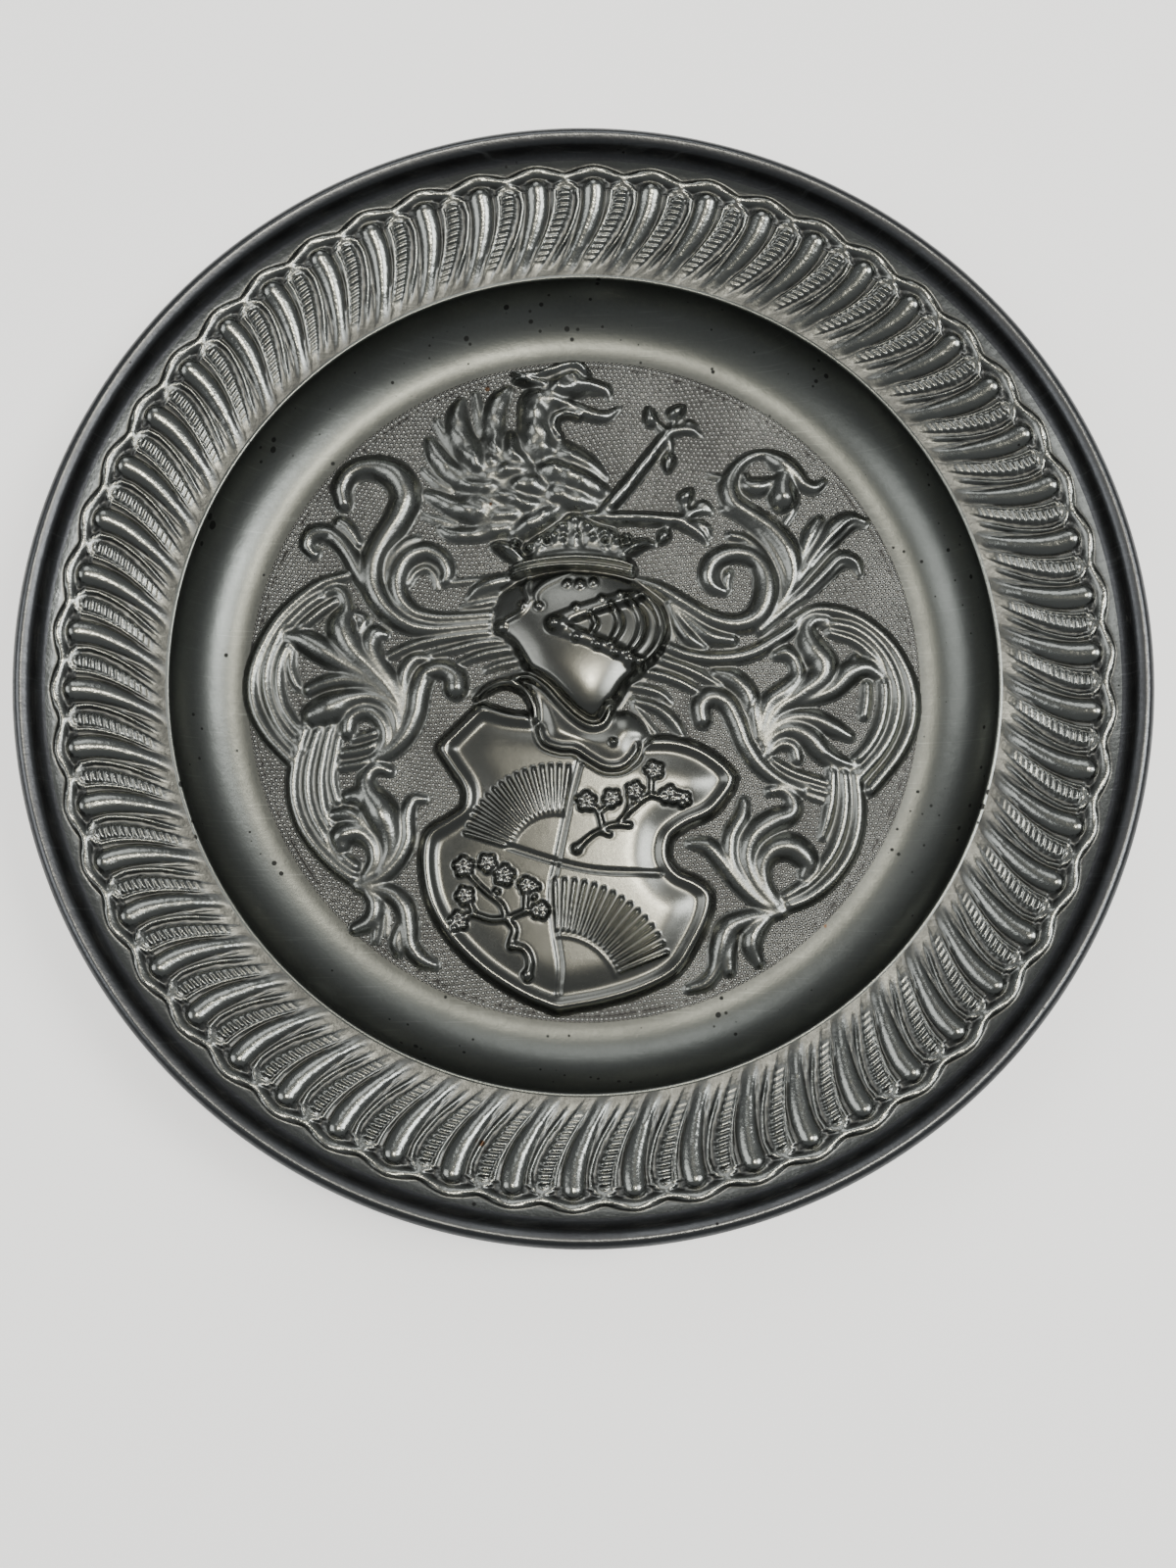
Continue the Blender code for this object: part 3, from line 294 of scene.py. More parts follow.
def flute_height(r, turn):
    """The height over the rim's base; turn is in degrees from the middle line of the nearest flute.
    Each ridge is a round back at its own place, and the highest one counts. The cord is a row of
    arches, and the legs of each arch run down both sides of its flute."""
    turn = (turn + PITCH / 2) % PITCH - PITCH / 2
    side = np.radians(turn) * r
    half = along_radius(FLUTE_HALF, r)
    beyond = np.maximum(r - CAP_R, 0)
    reach = np.hypot(side, beyond)
    flute = along_radius(FLUTE_RISE, r) * rounded(reach, half) ** 0.6
    fade = rising(r - 116, 6)
    outline = OUTLINE_RISE * fade * rounded(reach - half - 0.42, 0.38)
    leg_at = np.where(side > 0, along_radius(LEG_AFTER, r), along_radius(LEG_BEFORE, r))
    past = np.abs(side) - leg_at
    leg = CORD_RISE * fade * rounded(past, 0.78) * rising(138.6 - r, 1.2)
    edge = scallop(turn)
    cord = CORD_RISE * rounded(r - edge + 1.55, 1.6)
    corner = CORD_RISE * np.sqrt(rising(past, 0.7) * rising(r - 135.2, 3.4) * rising(edge - r, 0.8))
    valley = -VALLEY_DEPTH * rounded(reach - half - 1.5, 0.8) * (beyond > 0)
    raised = np.maximum.reduce([flute, outline, leg, cord, corner, rope_height(r, side)])
    return raised + np.where(raised > 0, 0, valley)


def rope_height(r, side):
    """A rope lies between the legs of two arches: short slanting rounds, closer towards the well."""
    pitch = np.radians(PITCH) * r
    offset = (side + along_radius(ROPE_AWAY, r) + pitch / 2) % pitch - pitch / 2
    rounds = ROPE_ROUNDS * (np.maximum(r - BAND_R, 0) / ROPE_LENGTH) ** 0.9 + ROPE_SLANT * offset
    bead = np.abs(np.sin(np.pi * rounds)) ** 0.6
    bar = np.maximum(0, 1 - (np.abs(offset) / along_radius(ROPE_HALF, r)) ** 5) ** 0.5
    return along_radius(ROPE_RISE, r) * bar * (0.28 + 0.72 * bead)


# %% The grid that leans with the swirl
def rim_zone(name, radii, stations):
    """One zone of the rim. Its columns stand at the same places in each repeat. A point is hollow by
    as much as its height lies under the softened height round it, and more so towards the well."""
    turns = (np.arange(REPEATS)[:, None] * PITCH + stations[None, :]).ravel()
    r = np.asarray(radii)[:, None]
    turn = turns[None, :] + 0 * r
    angle = np.radians(turn + swirl(r) + PHASE)
    angle = angle - np.radians(PHASE_DRIFT) * np.cos(angle - PHASE_DRIFT_FROM)
    height = flute_height(r, turn)
    hollow = 0.45 + 0.55 * (wrapped_softened(height, 4) - height) + 0.25 * rising(121 - r, 6)
    z = along_radius(FLUTE_BASE, r) + height
    points = np.stack([r * np.cos(angle), r * np.sin(angle), z], axis=-1).reshape(-1, 3)
    add_piece(name, points, [ring_faces(len(radii), len(turns))], hollow.ravel())


def wrapped_softened(height, cells):
    """The zone's height softened round the axis and along the radius; its outer rows are repeated."""
    padded = np.pad(height, ((2 * cells, 2 * cells), (0, 0)), mode="edge")
    return softened(padded, cells)[2 * cells:-2 * cells]


# close together over the rope and the legs, wide apart over the flute's round back
FLUTE_STATIONS = np.concatenate([np.arange(-3.33, -1.15, 0.135), [-0.8, -0.4, 0, 0.4, 0.8],
                                 np.arange(1.15, 2.75, 0.16), [2.9, 3.12]])
CORD_STATIONS = np.linspace(-PITCH / 2, PITCH / 2, 25)[:-1]
inner_radii = np.concatenate([np.arange(BAND_R, 118.1, 0.75), np.arange(118.1, 126.2, 0.36)])
outer_radii = np.arange(inner_radii[-1], 136.2, 0.3)
cord_radii = np.append(np.arange(outer_radii[-1], CORD_R - 0.1, 0.28), CORD_R)
rim_zone("flutes_inner", inner_radii, FLUTE_STATIONS)
rim_zone("flutes_outer", outer_radii, FLUTE_STATIONS)
rim_zone("scalloped_cord", cord_radii, CORD_STATIONS)

# %% [markdown]
# ## How the medallion is carved
# The maker raised the arms from behind and drew them again from the front: rolled ribbons, leaves
# that overlap, a domed helmet. Modelled as separate tubes they would cut through each other, so the
# carving is one sheet of heights over the ground instead. A stroke is a round bar that follows a
# flowing line and swells and thins with it. Strokes that lie together make a layer, and a layer laid
# over another presses it down along its own edge, which gives the dark line round every leaf.

# %% A sheet of heights and the strokes that raise it
SHEET_PITCH = 0.31
SHEET_HALF = 98
SHEET_AXIS = np.arange(-SHEET_HALF, SHEET_HALF + SHEET_PITCH, SHEET_PITCH)
SHEET_X, SHEET_Y = SHEET_AXIS[None, :], SHEET_AXIS[:, None]
STROKE_STEP = 0.35  # between the points of a flowing line
BESIDE = 1.3  # how far beside a line its distance is still measured
FAR = 9.0  # the distance of whatever lies farther off
TINY = 1e-12  # keeps a division by a length of 0 from failing


def wide(points, width):
    """Points of a line with one width all along."""
    return [(x, y, width) for x, y in points]


def dot(x, y, width):
    """A line so short that it draws a round dot."""
    return wide([(x - 0.01, y), (x + 0.01, y)], width)


def fuller(lines, share):
    """The lines with every width multiplied by the share."""
    return [[(x, y, share * width) for x, y, width in line] for line in lines]


class Layer:
    """Heights over the ground in mm, and away, the distance outside whatever has been raised."""

    def __init__(self):
        self.height = np.zeros((SHEET_AXIS.size, SHEET_AXIS.size))
        self.away = np.full(self.height.shape, FAR)

    def window(self, lowest, highest, margin):
        """The rows and columns of the sheet round a box, with their x and y as a row and a column."""
        columns = slice(*np.searchsorted(SHEET_AXIS, [lowest[0] - margin, highest[0] + margin]))
        rows = slice(*np.searchsorted(SHEET_AXIS, [lowest[1] - margin, highest[1] + margin]))
        return (rows, columns), SHEET_AXIS[columns][None, :], SHEET_AXIS[rows][:, None]

    def trace(self, line):
        """For one flowing line of (x, y, width): the share of the half width at which each point of
        the sheet lies, the half width there, how far outside the bar it is, and the window."""
        margin = line[:, 2].max() / 2 + BESIDE
        win, x, y = self.window(line[:, :2].min(axis=0), line[:, :2].max(axis=0), margin)
        share = np.full((y.size, x.size), FAR)
        half = np.ones_like(share)
        outside = np.full_like(share, FAR)
        for a, b in zip(line, line[1:]):
            near = max(a[2], b[2]) / 2 + BESIDE
            near_x = slice(*np.searchsorted(x[0], [min(a[0], b[0]) - near, max(a[0], b[0]) + near]))
            near_y = slice(*np.searchsorted(y[:, 0], [min(a[1], b[1]) - near, max(a[1], b[1]) + near]))
            spot = (near_y, near_x)
            dx, dy = b[:2] - a[:2]
            px, py = x[:, near_x] - a[0], y[near_y] - a[1]
            t = np.clip((px * dx + py * dy) / (dx * dx + dy * dy + TINY), 0, 1)
            distance = np.hypot(px - t * dx, py - t * dy)
            here = (a[2] + (b[2] - a[2]) * t) / 2
            closer = distance / here < share[spot]
            share[spot] = np.where(closer, distance / here, share[spot])
            half[spot] = np.where(closer, here, half[spot])
            outside[spot] = np.minimum(outside[spot], distance - here)
        return share, half, outside, win

    def stroke(self, points, lift=0.44, top=None, power=0.9):
        """A round bar: its height is the crest times a power of 1 less the squared share of the half
        width. The crest is lift times the width, or top."""
        share, half, outside, win = self.trace(flowing(points, STROKE_STEP))
        crest = 2 * lift * half if top is None else top
        bar = crest * np.maximum(0, 1 - share**2) ** power * (share < 1)
        self.height[win] = np.maximum(self.height[win], bar)
        self.away[win] = np.minimum(self.away[win], outside)

    def strokes(self, many, **form):
        """Several strokes of one form."""
        for points in many:
            self.stroke(points, **form)

    def ridge(self, points, rise):
        """A thin round line put on top of what is there; a negative rise cuts it in."""
        share, _, _, win = self.trace(flowing(points, STROKE_STEP))
        changed = self.height[win] + rise * np.maximum(0, 1 - share**2) ** 0.8
        self.height[win] = np.where(self.height[win] > 0, np.maximum(changed, 0.05), 0)

    def ridges(self, many, rise):
        """Several ridges of one rise."""
        for points in many:
            self.ridge(points, rise)

    def dome(self, x, y, radius, top):
        """A round dome that stands from the ground."""
        self.stroke(dot(x, y, 2 * radius), top=top)

    def rivet(self, x, y, radius, rise):
        """A round head on what is there, with a shallow groove round it."""
        self.ridge(dot(x, y, 2 * radius + 1.1), -0.45)
        self.ridge(dot(x, y, 2 * radius), rise)

    def pillow(self, outline, top, shoulder, rounding=True, fullness=0.6):
        """A raised field inside an outline. It is flat in the middle, and within the shoulder's width
        of its edge it falls like a quarter round."""
        p = np.asarray(outline, float)
        if rounding:
            p = flowing(np.vstack([p, p[:1]]), 1.2)[:-1]
        win, x, y = self.window(p.min(axis=0), p.max(axis=0), 1.5)
        inside = np.zeros((y.size, x.size), bool)
        near = np.full(inside.shape, np.inf)
        for a, b in zip(p, np.roll(p, -1, axis=0)):
            dx, dy = b - a
            crosses = (a[1] > y) != (b[1] > y)
            inside ^= crosses & (x < a[0] + (y - a[1]) / (dy if dy else 1.0) * dx)
            t = np.clip(((x - a[0]) * dx + (y - a[1]) * dy) / (dx * dx + dy * dy + TINY), 0, 1)
            near = np.minimum(near, np.hypot(x - a[0] - t * dx, y - a[1] - t * dy))
        share = np.clip(near / shoulder, 0, 1)
        body = np.where(inside, top * (1 - (1 - share) ** 2) ** fullness, 0)
        self.height[win] = np.maximum(self.height[win], body)
        self.away[win] = np.minimum(self.away[win], np.where(inside, -near, near))

    def ease(self, cells, passes=2):
        """Rounds the creases of what has been raised so far, without moving its edge."""
        smooth = softened(self.height, cells, passes)
        hold = np.clip(-self.away / (cells * SHEET_PITCH * 1.5), 0, 1)
        self.height = self.height + (smooth - self.height) * hold

    def under(self, upper, moat=0.7, kept=0.6):
        """This layer with another laid on it: pressed down to a share along the upper one's edge."""
        both = Layer()
        pressed = kept + (1 - kept) * np.clip(upper.away / moat, 0, 1) ** 0.7
        both.height = np.maximum(self.height * pressed, upper.height)
        both.away = np.minimum(self.away, upper.away)
        return both


print(f"the sheet has {SHEET_AXIS.size} x {SHEET_AXIS.size} heights, {SHEET_PITCH} mm apart")

# %% [markdown]
# ## The drawing of the mantling
# The leafy cloth that falls from the helmet frames the arms on both sides. Its strokes are drawn like
# a carver's sketch: each is a few places that its middle line passes, with the width there. The two
# sides are not mirror images, so each has its own drawing: ribbons lie lowest, then scrolled ends,
# then the acanthus leaves. Grooves are cut last, where a roll shows its turned lip.

# %% The left side's ribbons, scrolls and leaves, as (x, y, width) in mm
LEFT_RIBBONS = [
    [(-67, 31.2, 3), (-77, 27.3, 4), (-86.5, 18.7, 4.4), (-92, 9, 4.6), (-94.3, 0, 4.6),
     (-93.2, -8, 4.6), (-89, -15.5, 4.6), (-82.5, -22.5, 4.4)],
    [(-72, 26.5, 3), (-79, 22, 3.8), (-86, 14.5, 4), (-89.8, 6, 4), (-90.3, -1.5, 4), (-88, -9, 4),
     (-84.5, -15, 4), (-80, -19.5, 4)],
    [(-70.5, 23.5, 3), (-76, 19.8, 3.6), (-82, 14, 3.6), (-86, 7, 3.7), (-86.9, 0, 3.7),
     (-85.6, -6.5, 3.7), (-82.7, -11.5, 3.6), (-80, -14.5, 3.6)],
    [(-83.2, 9.5, 2.6), (-83.6, 4.5, 3), (-82.4, 0.5, 3), (-81.2, -1.8, 2.4)],
    [(-58, 6, 2.6), (-50, 10, 3), (-42, 12.3, 3.2), (-33, 13.8, 3.2), (-24, 14.5, 3)],
    [(-44.5, 7.6, 1.8), (-37.5, 9.3, 2.6), (-30, 11.2, 2.8), (-20, 12.2, 2.6)],
    [(-36, 5.2, 2), (-28.5, 8, 3), (-17, 10, 3)],
    [(-28, 3.4, 1.8), (-23.5, 5, 2.4), (-16, 6.6, 2.4)],
    [(-31.5, -3.6, 1.4), (-27, -1, 1.9), (-17, 3, 2)],
    [(-65, -16.5, 2.6), (-60, -15.2, 2.8), (-55, -13, 2.8)],
    [(-68, -20.6, 3), (-62, -19.5, 3.2), (-55, -16.5, 3.2)],
    [(-68.5, -24.5, 2.6), (-62, -23.3, 2.8), (-55, -20.3, 2.8)],
    [(-78, -11, 4), (-80.3, -19, 4), (-81.8, -27, 4.2), (-81.2, -35, 4.2), (-77.8, -43, 4.3),
     (-72, -50, 4.4), (-66, -55, 4.4), (-60, -58.3, 4.2)],
    [(-74.5, -12, 3.4), (-76.8, -20, 3.5), (-78, -28, 3.6), (-77, -35.5, 3.7), (-74, -42, 3.8),
     (-69.5, -48, 3.9), (-64, -52.5, 3.8)],
    [(-71.5, -12, 3), (-73.2, -20, 3.2), (-74.2, -28, 3.4), (-73.2, -36, 3.2), (-70.6, -42, 2.6)],
    [(-68.8, -13, 2.6), (-70.2, -21, 2.8), (-70.9, -28, 2.8), (-69.3, -34.3, 2.4)],
]

LEFT_SCROLLS = [
    [(-70.3, 46.3, 4), (-68, 44.6, 4), (-65, 40.3, 2.6)],
    [(-48.3, 41.8, 2), (-52, 39.8, 3), (-55.7, 35.3, 3.4), (-57, 30, 3)],
    [(-18, 30.5, 3), (-25, 28.8, 4.8), (-30, 27, 4), (-33, 24.4, 1.8)],
    [(-20, 31.2, 1.6), (-30, 29.7, 1.8), (-38, 28.8, 1.6)],
    [(-35, 21.6, 1.2), (-31, 22.3, 2), (-25, 23.6, 2)],
    [(-31, 24.2, 1.2), (-25, 26, 2)],
    [(-77.7, 37.4, 3.6), (-79.6, 39.6, 4.2), (-78.3, 42.8, 5), (-74.2, 43.2, 5.4), (-70.6, 41, 5.2),
     (-67.6, 37, 5), (-64.8, 32, 5.4), (-61, 26, 5)],
    [(-69.4, 52.3, 5.2), (-70, 57, 5.9), (-67, 61.5, 6.2), (-61, 62.9, 6.8), (-54.7, 60.5, 8.4),
     (-51.7, 54.5, 8.6), (-53.5, 48, 8), (-57.8, 41, 7.6), (-60.6, 34, 7.8), (-60.2, 27, 7.4),
     (-56, 20.5, 6.4), (-50, 16.4, 5.2), (-43.5, 15.2, 3.8), (-36, 15.8, 3.2), (-26, 16.8, 3)],
    [(-40, 29.4, 3.2), (-39.3, 32, 4), (-41, 35.8, 4.8), (-45.8, 38, 5.2), (-51, 35.8, 5.8),
     (-53.7, 30.5, 6), (-53, 24.5, 5.6), (-49, 20.2, 4.4), (-43, 18.6, 3.4), (-36, 18.6, 3.2),
     (-25, 19.6, 3)],
    [(-42.3, 27.6, 1.4), (-42.9, 30.6, 1.9), (-45.2, 32.9, 2.2), (-48.6, 31.7, 2.2), (-50.6, 28.4, 2)],
]

LEFT_LEAVES = [
    [(-64.9, 19, 2.8), (-63, 17.6, 3), (-64.4, 13, 3.2), (-62, 8, 3)],
    [(-57, 13.6, 2.6), (-60, 13.6, 4.8), (-61, 9.6, 5.6), (-58.5, 4.5, 5.2), (-54.5, -0.8, 4.4),
     (-51.5, -7, 3)],
    [(-84, 13, 3.6), (-80.2, 12, 5.6), (-74.5, 8.8, 6.6), (-68, 4.8, 5.4), (-61, 0.6, 4.4),
     (-54, -5, 3.2)],
    [(-73.5, 26, 2.8), (-71, 26.6, 3.2), (-68.8, 24.6, 3.2), (-68, 20.6, 4), (-69, 15.5, 8),
     (-66, 9, 7.6), (-60, 3, 6), (-54.5, -3.5, 4.4), (-51.4, -9.5, 3)],
    [(-78, -2.4, 3.4), (-73, -0.4, 4), (-67, 0.4, 4), (-60, -1.4, 4), (-54, -6, 3.2), (-51, -11, 2.6)],
    [(-76.5, -9.8, 6.4), (-72, -7.8, 8), (-67, -5.4, 5.6), (-61, -4.4, 4.4), (-55.6, -6.8, 4.4),
     (-53, -12.5, 4.2), (-54.5, -18.5, 3)],
    [(-67, -14.2, 4.4), (-66.3, -10.8, 4.2), (-63, -8.7, 4.2), (-59.3, -9.4, 4.4), (-56.6, -12.6, 4.4),
     (-56, -17, 4), (-58.5, -21.3, 2.6)],
    [(-44.6, 6.7, 2.2), (-48.4, 6.4, 3.4), (-51.2, 2.4, 3.6), (-51.4, -4, 3), (-50.6, -10, 2)],
    [(-36.5, -1.8, 6.2), (-37, 1.6, 5.6), (-41, 3.6, 5), (-45, 2, 5.2), (-47, -3, 5.6),
     (-47.9, -9, 5.4), (-50.4, -15, 5), (-54.6, -19.8, 4.2), (-59, -22, 2.8)],
    [(-66.3, -33, 3.6), (-63, -33, 4.6), (-59.7, -37, 4.4), (-57.3, -43, 3)],
    [(-70.2, -38, 3), (-66, -37.9, 4), (-61.6, -41, 3.8), (-58.5, -46.5, 3)],
    [(-68, -46.6, 4.6), (-68, -44, 6.2), (-63.5, -42.8, 5.4), (-59.6, -46, 4.4), (-58.6, -51, 3.8),
     (-61, -55.5, 3)],
    [(-54.9, -25.7, 2.8), (-58.5, -24.7, 3.6), (-61.4, -27.8, 4.4), (-60.4, -32.5, 6.4),
     (-57.2, -37.5, 9.2), (-54.8, -43, 7.2), (-54.6, -48.5, 5), (-57, -54, 3.6)],
    [(-45, -33.5, 2), (-48.3, -34, 3.2), (-49.8, -38.5, 4), (-49.7, -45, 4.2), (-52.4, -51, 4.2),
     (-57.5, -55.8, 4.2), (-63, -58, 3.4)],
    [(-61, -58.6, 3.2), (-58.3, -62.5, 4.4), (-59, -67.3, 4.6), (-63.6, -69.8, 3)],
    [(-57.5, -62, 2.4), (-57.4, -68, 2.8), (-58, -73, 2)],
    [(-56.3, -62.5, 0.9), (-54.9, -66, 1.1), (-55, -71.5, 1)],
    [(-50, -67, 3), (-52, -73, 3.8), (-51.6, -75.8, 3)],
    [(-62, -58.4, 3.4), (-54.5, -59.7, 4.4), (-50.2, -63.5, 5.2), (-49, -69, 5), (-48.3, -74, 4.4),
     (-45.3, -78, 4), (-41.5, -79.8, 2.4)],
]

LEFT_GROOVES = [
    [(-77.5, 37.6, 0.9), (-76.6, 40.4, 0.9), (-73.4, 42, 0.7)],
    [(-67, 51.2, 0.9), (-67.5, 56, 1), (-65, 59.9, 0.9), (-60.8, 60.4, 0.6)],
    [(-48, 50, 0.7), (-52, 43, 0.8), (-57, 36.5, 0.8), (-57.6, 29, 0.8), (-54.5, 22, 0.6)],
    [(-44.5, 1.2, 1), (-41.4, 0.6, 1.1), (-39.8, -2, 0.9)],
    [(-65.6, 17.6, 0.8), (-65.2, 14, 0.7)],
]

print(f"left: {len(LEFT_RIBBONS)} ribbons, {len(LEFT_SCROLLS)} scrolls,",
      f"{len(LEFT_LEAVES)} leaves")

# %% The right side's
RIGHT_RIBBONS = [
    [(60, 18, 3), (66.5, 20.8, 4), (74, 20.2, 4), (81, 16.8, 4.2), (87.5, 10.5, 4.2), (91.7, 2.5, 4.2),
     (93.2, -5.5, 4.3), (92, -13.5, 4.3), (88, -21.5, 4.3), (80.5, -30.8, 3.8)],
    [(68, 17.2, 3.2), (76, 16, 3.8), (82, 12, 4), (86.8, 5, 4), (89, -3.5, 4.1), (87.8, -12, 4.1),
     (84, -19.5, 4.1), (77, -27.5, 3.8)],
    [(70, 14.5, 2.6), (77, 12, 3.2), (82, 7.5, 3.6), (84.8, 1, 3.9), (85.1, -6, 4), (83.4, -13, 4),
     (80, -19, 3.8), (75, -24, 3.6)],
    [(80.2, -0.5, 3), (80, -5, 3.4), (79.2, -9.6, 3.2)],
    [(21, 11.5, 2.8), (29, 8, 3.8), (38, 6.8, 4.2), (47, 8.2, 4.4), (55, 12.6, 4.2), (62, 17.4, 3.4)],
    [(19, 7.4, 2.6), (28, 4.3, 3.2), (33, 2, 3), (38.5, -1.2, 2.4)],
    [(13, 3.8, 2.6), (22, 1.9, 3.2), (28, -0.4, 3.3), (33, -3.4, 2.6)],
    [(11, -1, 2), (18, -2.1, 2.8), (22, -3.6, 2.6), (24.4, -6, 1.4)],
    [(20, -2.4, 1.6), (22, -5.6, 1.4)],
    [(14, -5.4, 2.4), (21, -7.8, 3.6), (25.5, -12, 3.6), (27.6, -16, 2.6)],
    [(14, -7, 1.6), (18, -12.4, 2.2), (20.5, -15.6, 1.8)],
    [(53, -22.6, 2.6), (59, -26, 3), (68, -29, 3)],
    [(54, -26.6, 2.6), (60, -29.4, 3), (68, -31.8, 3)],
    [(60, -31.4, 2), (67, -33.9, 2)],
    [(69.8, -24, 3.6), (69.6, -32, 3.7), (68.2, -39, 3.4), (66.6, -44.2, 2.2)],
    [(73, -24, 3.6), (73.4, -33, 3.9), (72.3, -41, 4), (69.2, -48.8, 4), (63.8, -55.4, 3.9),
     (57.5, -60, 3.6), (51, -63, 3)],
    [(76, -24, 3.6), (77, -33, 4.1), (76.6, -41, 4.2), (74.2, -48.7, 4.2), (69.2, -55.8, 4.2),
     (62.6, -61, 4.1), (55, -63.9, 3.8), (49, -64.6, 3)],
]

RIGHT_SCROLLS = [
    [(42, 43, 2.6), (46.5, 41.6, 3.2), (51, 37.2, 3.6), (54, 31, 3.4), (55, 25, 2.6)],
    [(24, 22.5, 2), (26.7, 17, 3.6), (30, 12.6, 4.2), (33.6, 10.3, 2.4)],
    [(24.5, 22.6, 2.4), (31, 17.2, 3.4), (36, 13.3, 4.6), (42, 12.2, 3.6)],
    [(36, 61, 1.2), (40, 60, 2)],
    [(40, 50.6, 2), (45, 48.4, 3), (50.5, 44, 3.4), (55, 37, 3.4), (57.4, 30, 3), (56.5, 24, 2.6)],
    [(60.4, 50.6, 1.8), (57.4, 46, 1.8)],
    [(67.5, 47.2, 3.4), (65.4, 43.6, 4.8), (63.2, 38.5, 3.6), (61.5, 32, 2.6)],
    [(69.2, 59, 2.2), (66.4, 57.2, 3.4), (63, 58.6, 4.4), (60.3, 61.8, 5.6), (56.8, 64.6, 6),
     (52, 67.2, 3), (47, 65.9, 3), (43.2, 61.8, 4.4), (41.6, 57, 5.8), (43.3, 52.3, 6), (48.2, 48.8, 6),
     (54, 44.4, 6.6), (58.6, 38, 7), (59.8, 31, 5), (57.6, 25, 3.6), (53, 19.5, 3)],
    [(46.2, 60.6, 2.4), (47, 58, 4.6), (50, 57.4, 5.4), (54, 58.6, 4)],
    [(58, 60, 6), (57.4, 57, 7.6), (57.4, 54.3, 8.6)],
    [(80.6, 46.8, 2.8), (76.3, 47.3, 5.4), (71.8, 44, 6.6), (67.6, 38.5, 5.2), (63.5, 33, 4.2),
     (59, 27, 3.4), (54, 20.5, 3)],
    [(78.8, 32, 2.4), (77.2, 35.2, 4.2), (73.4, 35.8, 5), (69, 31.7, 4.6), (64, 26.7, 4), (58, 22, 3.4),
     (50, 15, 3)],
    [(12, 30, 2.4), (21, 27.4, 3.8), (29, 22.6, 4.4), (36, 18.4, 5), (43, 16.8, 5.6), (49, 18.9, 6.6),
     (52, 24.8, 7.2), (51.7, 32, 6.6), (47.6, 36.9, 5.6), (41.6, 37.5, 5.4), (36.8, 35, 5.6),
     (35.3, 31, 5.2), (36.6, 28, 4.2), (40, 26.4, 2.6)],
    [(49.6, 34.2, 1.6), (45, 35.9, 2), (41, 35.8, 2), (38.3, 33.2, 2), (38, 30, 1.9), (39.8, 27.4, 1.4)],
    [(41.2, 31.6, 3), (40.8, 29, 2), (41.2, 27.2, 1.6)],
]

RIGHT_LEAVES = [
    [(37.3, 2.6, 2.8), (42, 1, 5), (46, -3, 5.4), (48, -9, 4.6), (49, -16, 3)],
    [(33.2, -10.8, 4.8), (32.9, -6.8, 5), (36, -4.3, 5.2), (40.3, -6, 5.4), (43.2, -11.5, 5.4),
     (45.6, -18, 5), (49.6, -24, 4.4), (55, -28.3, 3.6), (61, -31, 3)],
    [(54.8, 8, 3), (57.7, 8.4, 4), (60.3, 5.4, 3.8), (60.3, 0.8, 4.4), (56.8, -2.8, 5.6), (52, -6.5, 5),
     (49.6, -14, 3.6)],
    [(69, 18.2, 2.8), (65.5, 18, 3.4), (63.4, 15, 4.4), (64.8, 10, 6.8), (68, 5.5, 7.4), (67, 1, 6.8),
     (61, -3.5, 5.6), (54.5, -8, 4.4), (50.4, -15.5, 3.2)],
    [(84, 2, 2.8), (80.3, 4.2, 4.8), (75.6, 2.9, 6), (70.5, -2, 5), (64, -4.8, 3.8), (57, -6.6, 3.4),
     (52, -12, 3), (50, -18, 2.6)],
    [(77, 6.8, 2.8), (76, 3.4, 3.4)],
    [(75, -15.6, 2.8), (70.5, -13.2, 4.6), (65, -10.6, 4.8), (59, -10.2, 4), (54, -12.5, 3.4),
     (50.5, -18, 3)],
    [(75.4, -24, 2.8), (71, -22.6, 4.2), (67, -20, 5.4), (63.2, -15.6, 6), (58, -13.6, 4.8),
     (53, -16, 3.4), (50.5, -21, 2.6)],
    [(51.6, -21, 2), (55.4, -17.8, 3), (59, -18.6, 3.4), (60, -22.2, 3)],
    [(29.6, -46, 2.4), (34.5, -46.8, 4.4), (38.5, -51, 4.8), (43, -57, 4.4), (49, -62.5, 3.8),
     (55, -65, 3)],
    [(44.8, -34.2, 2.8), (44, -38.5, 4), (41.1, -44, 4.4), (41, -51, 4.6), (44.4, -57, 4.2),
     (50, -63, 3.4)],
    [(61.4, -55, 3.4), (62.4, -51.2, 5.6), (58.5, -47.2, 6.8), (53, -47.6, 6), (49.6, -52, 5),
     (50.4, -58, 4), (54, -62.8, 3)],
    [(52.2, -31.2, 2.8), (55.6, -30.8, 3.2), (58.4, -33.5, 3.8), (58, -37.4, 4.8), (52.6, -39.8, 6),
     (47.2, -44, 6), (45.4, -50, 5), (47.8, -57, 4.4), (53, -63.2, 3.8)],
    [(52, -66, 2.8), (48, -69.4, 4.8), (46.2, -74, 5), (48.2, -79, 2.8)],
    [(41.5, -71, 3.2), (39.8, -76, 4), (40, -81.2, 3.2)],
    [(54, -65.4, 3), (46, -66.8, 4.4), (40, -69.6, 5.8), (37.7, -75, 5.6), (36.4, -80.5, 4),
     (33.4, -84.6, 3.4), (28.8, -86.3, 2.4)],
]

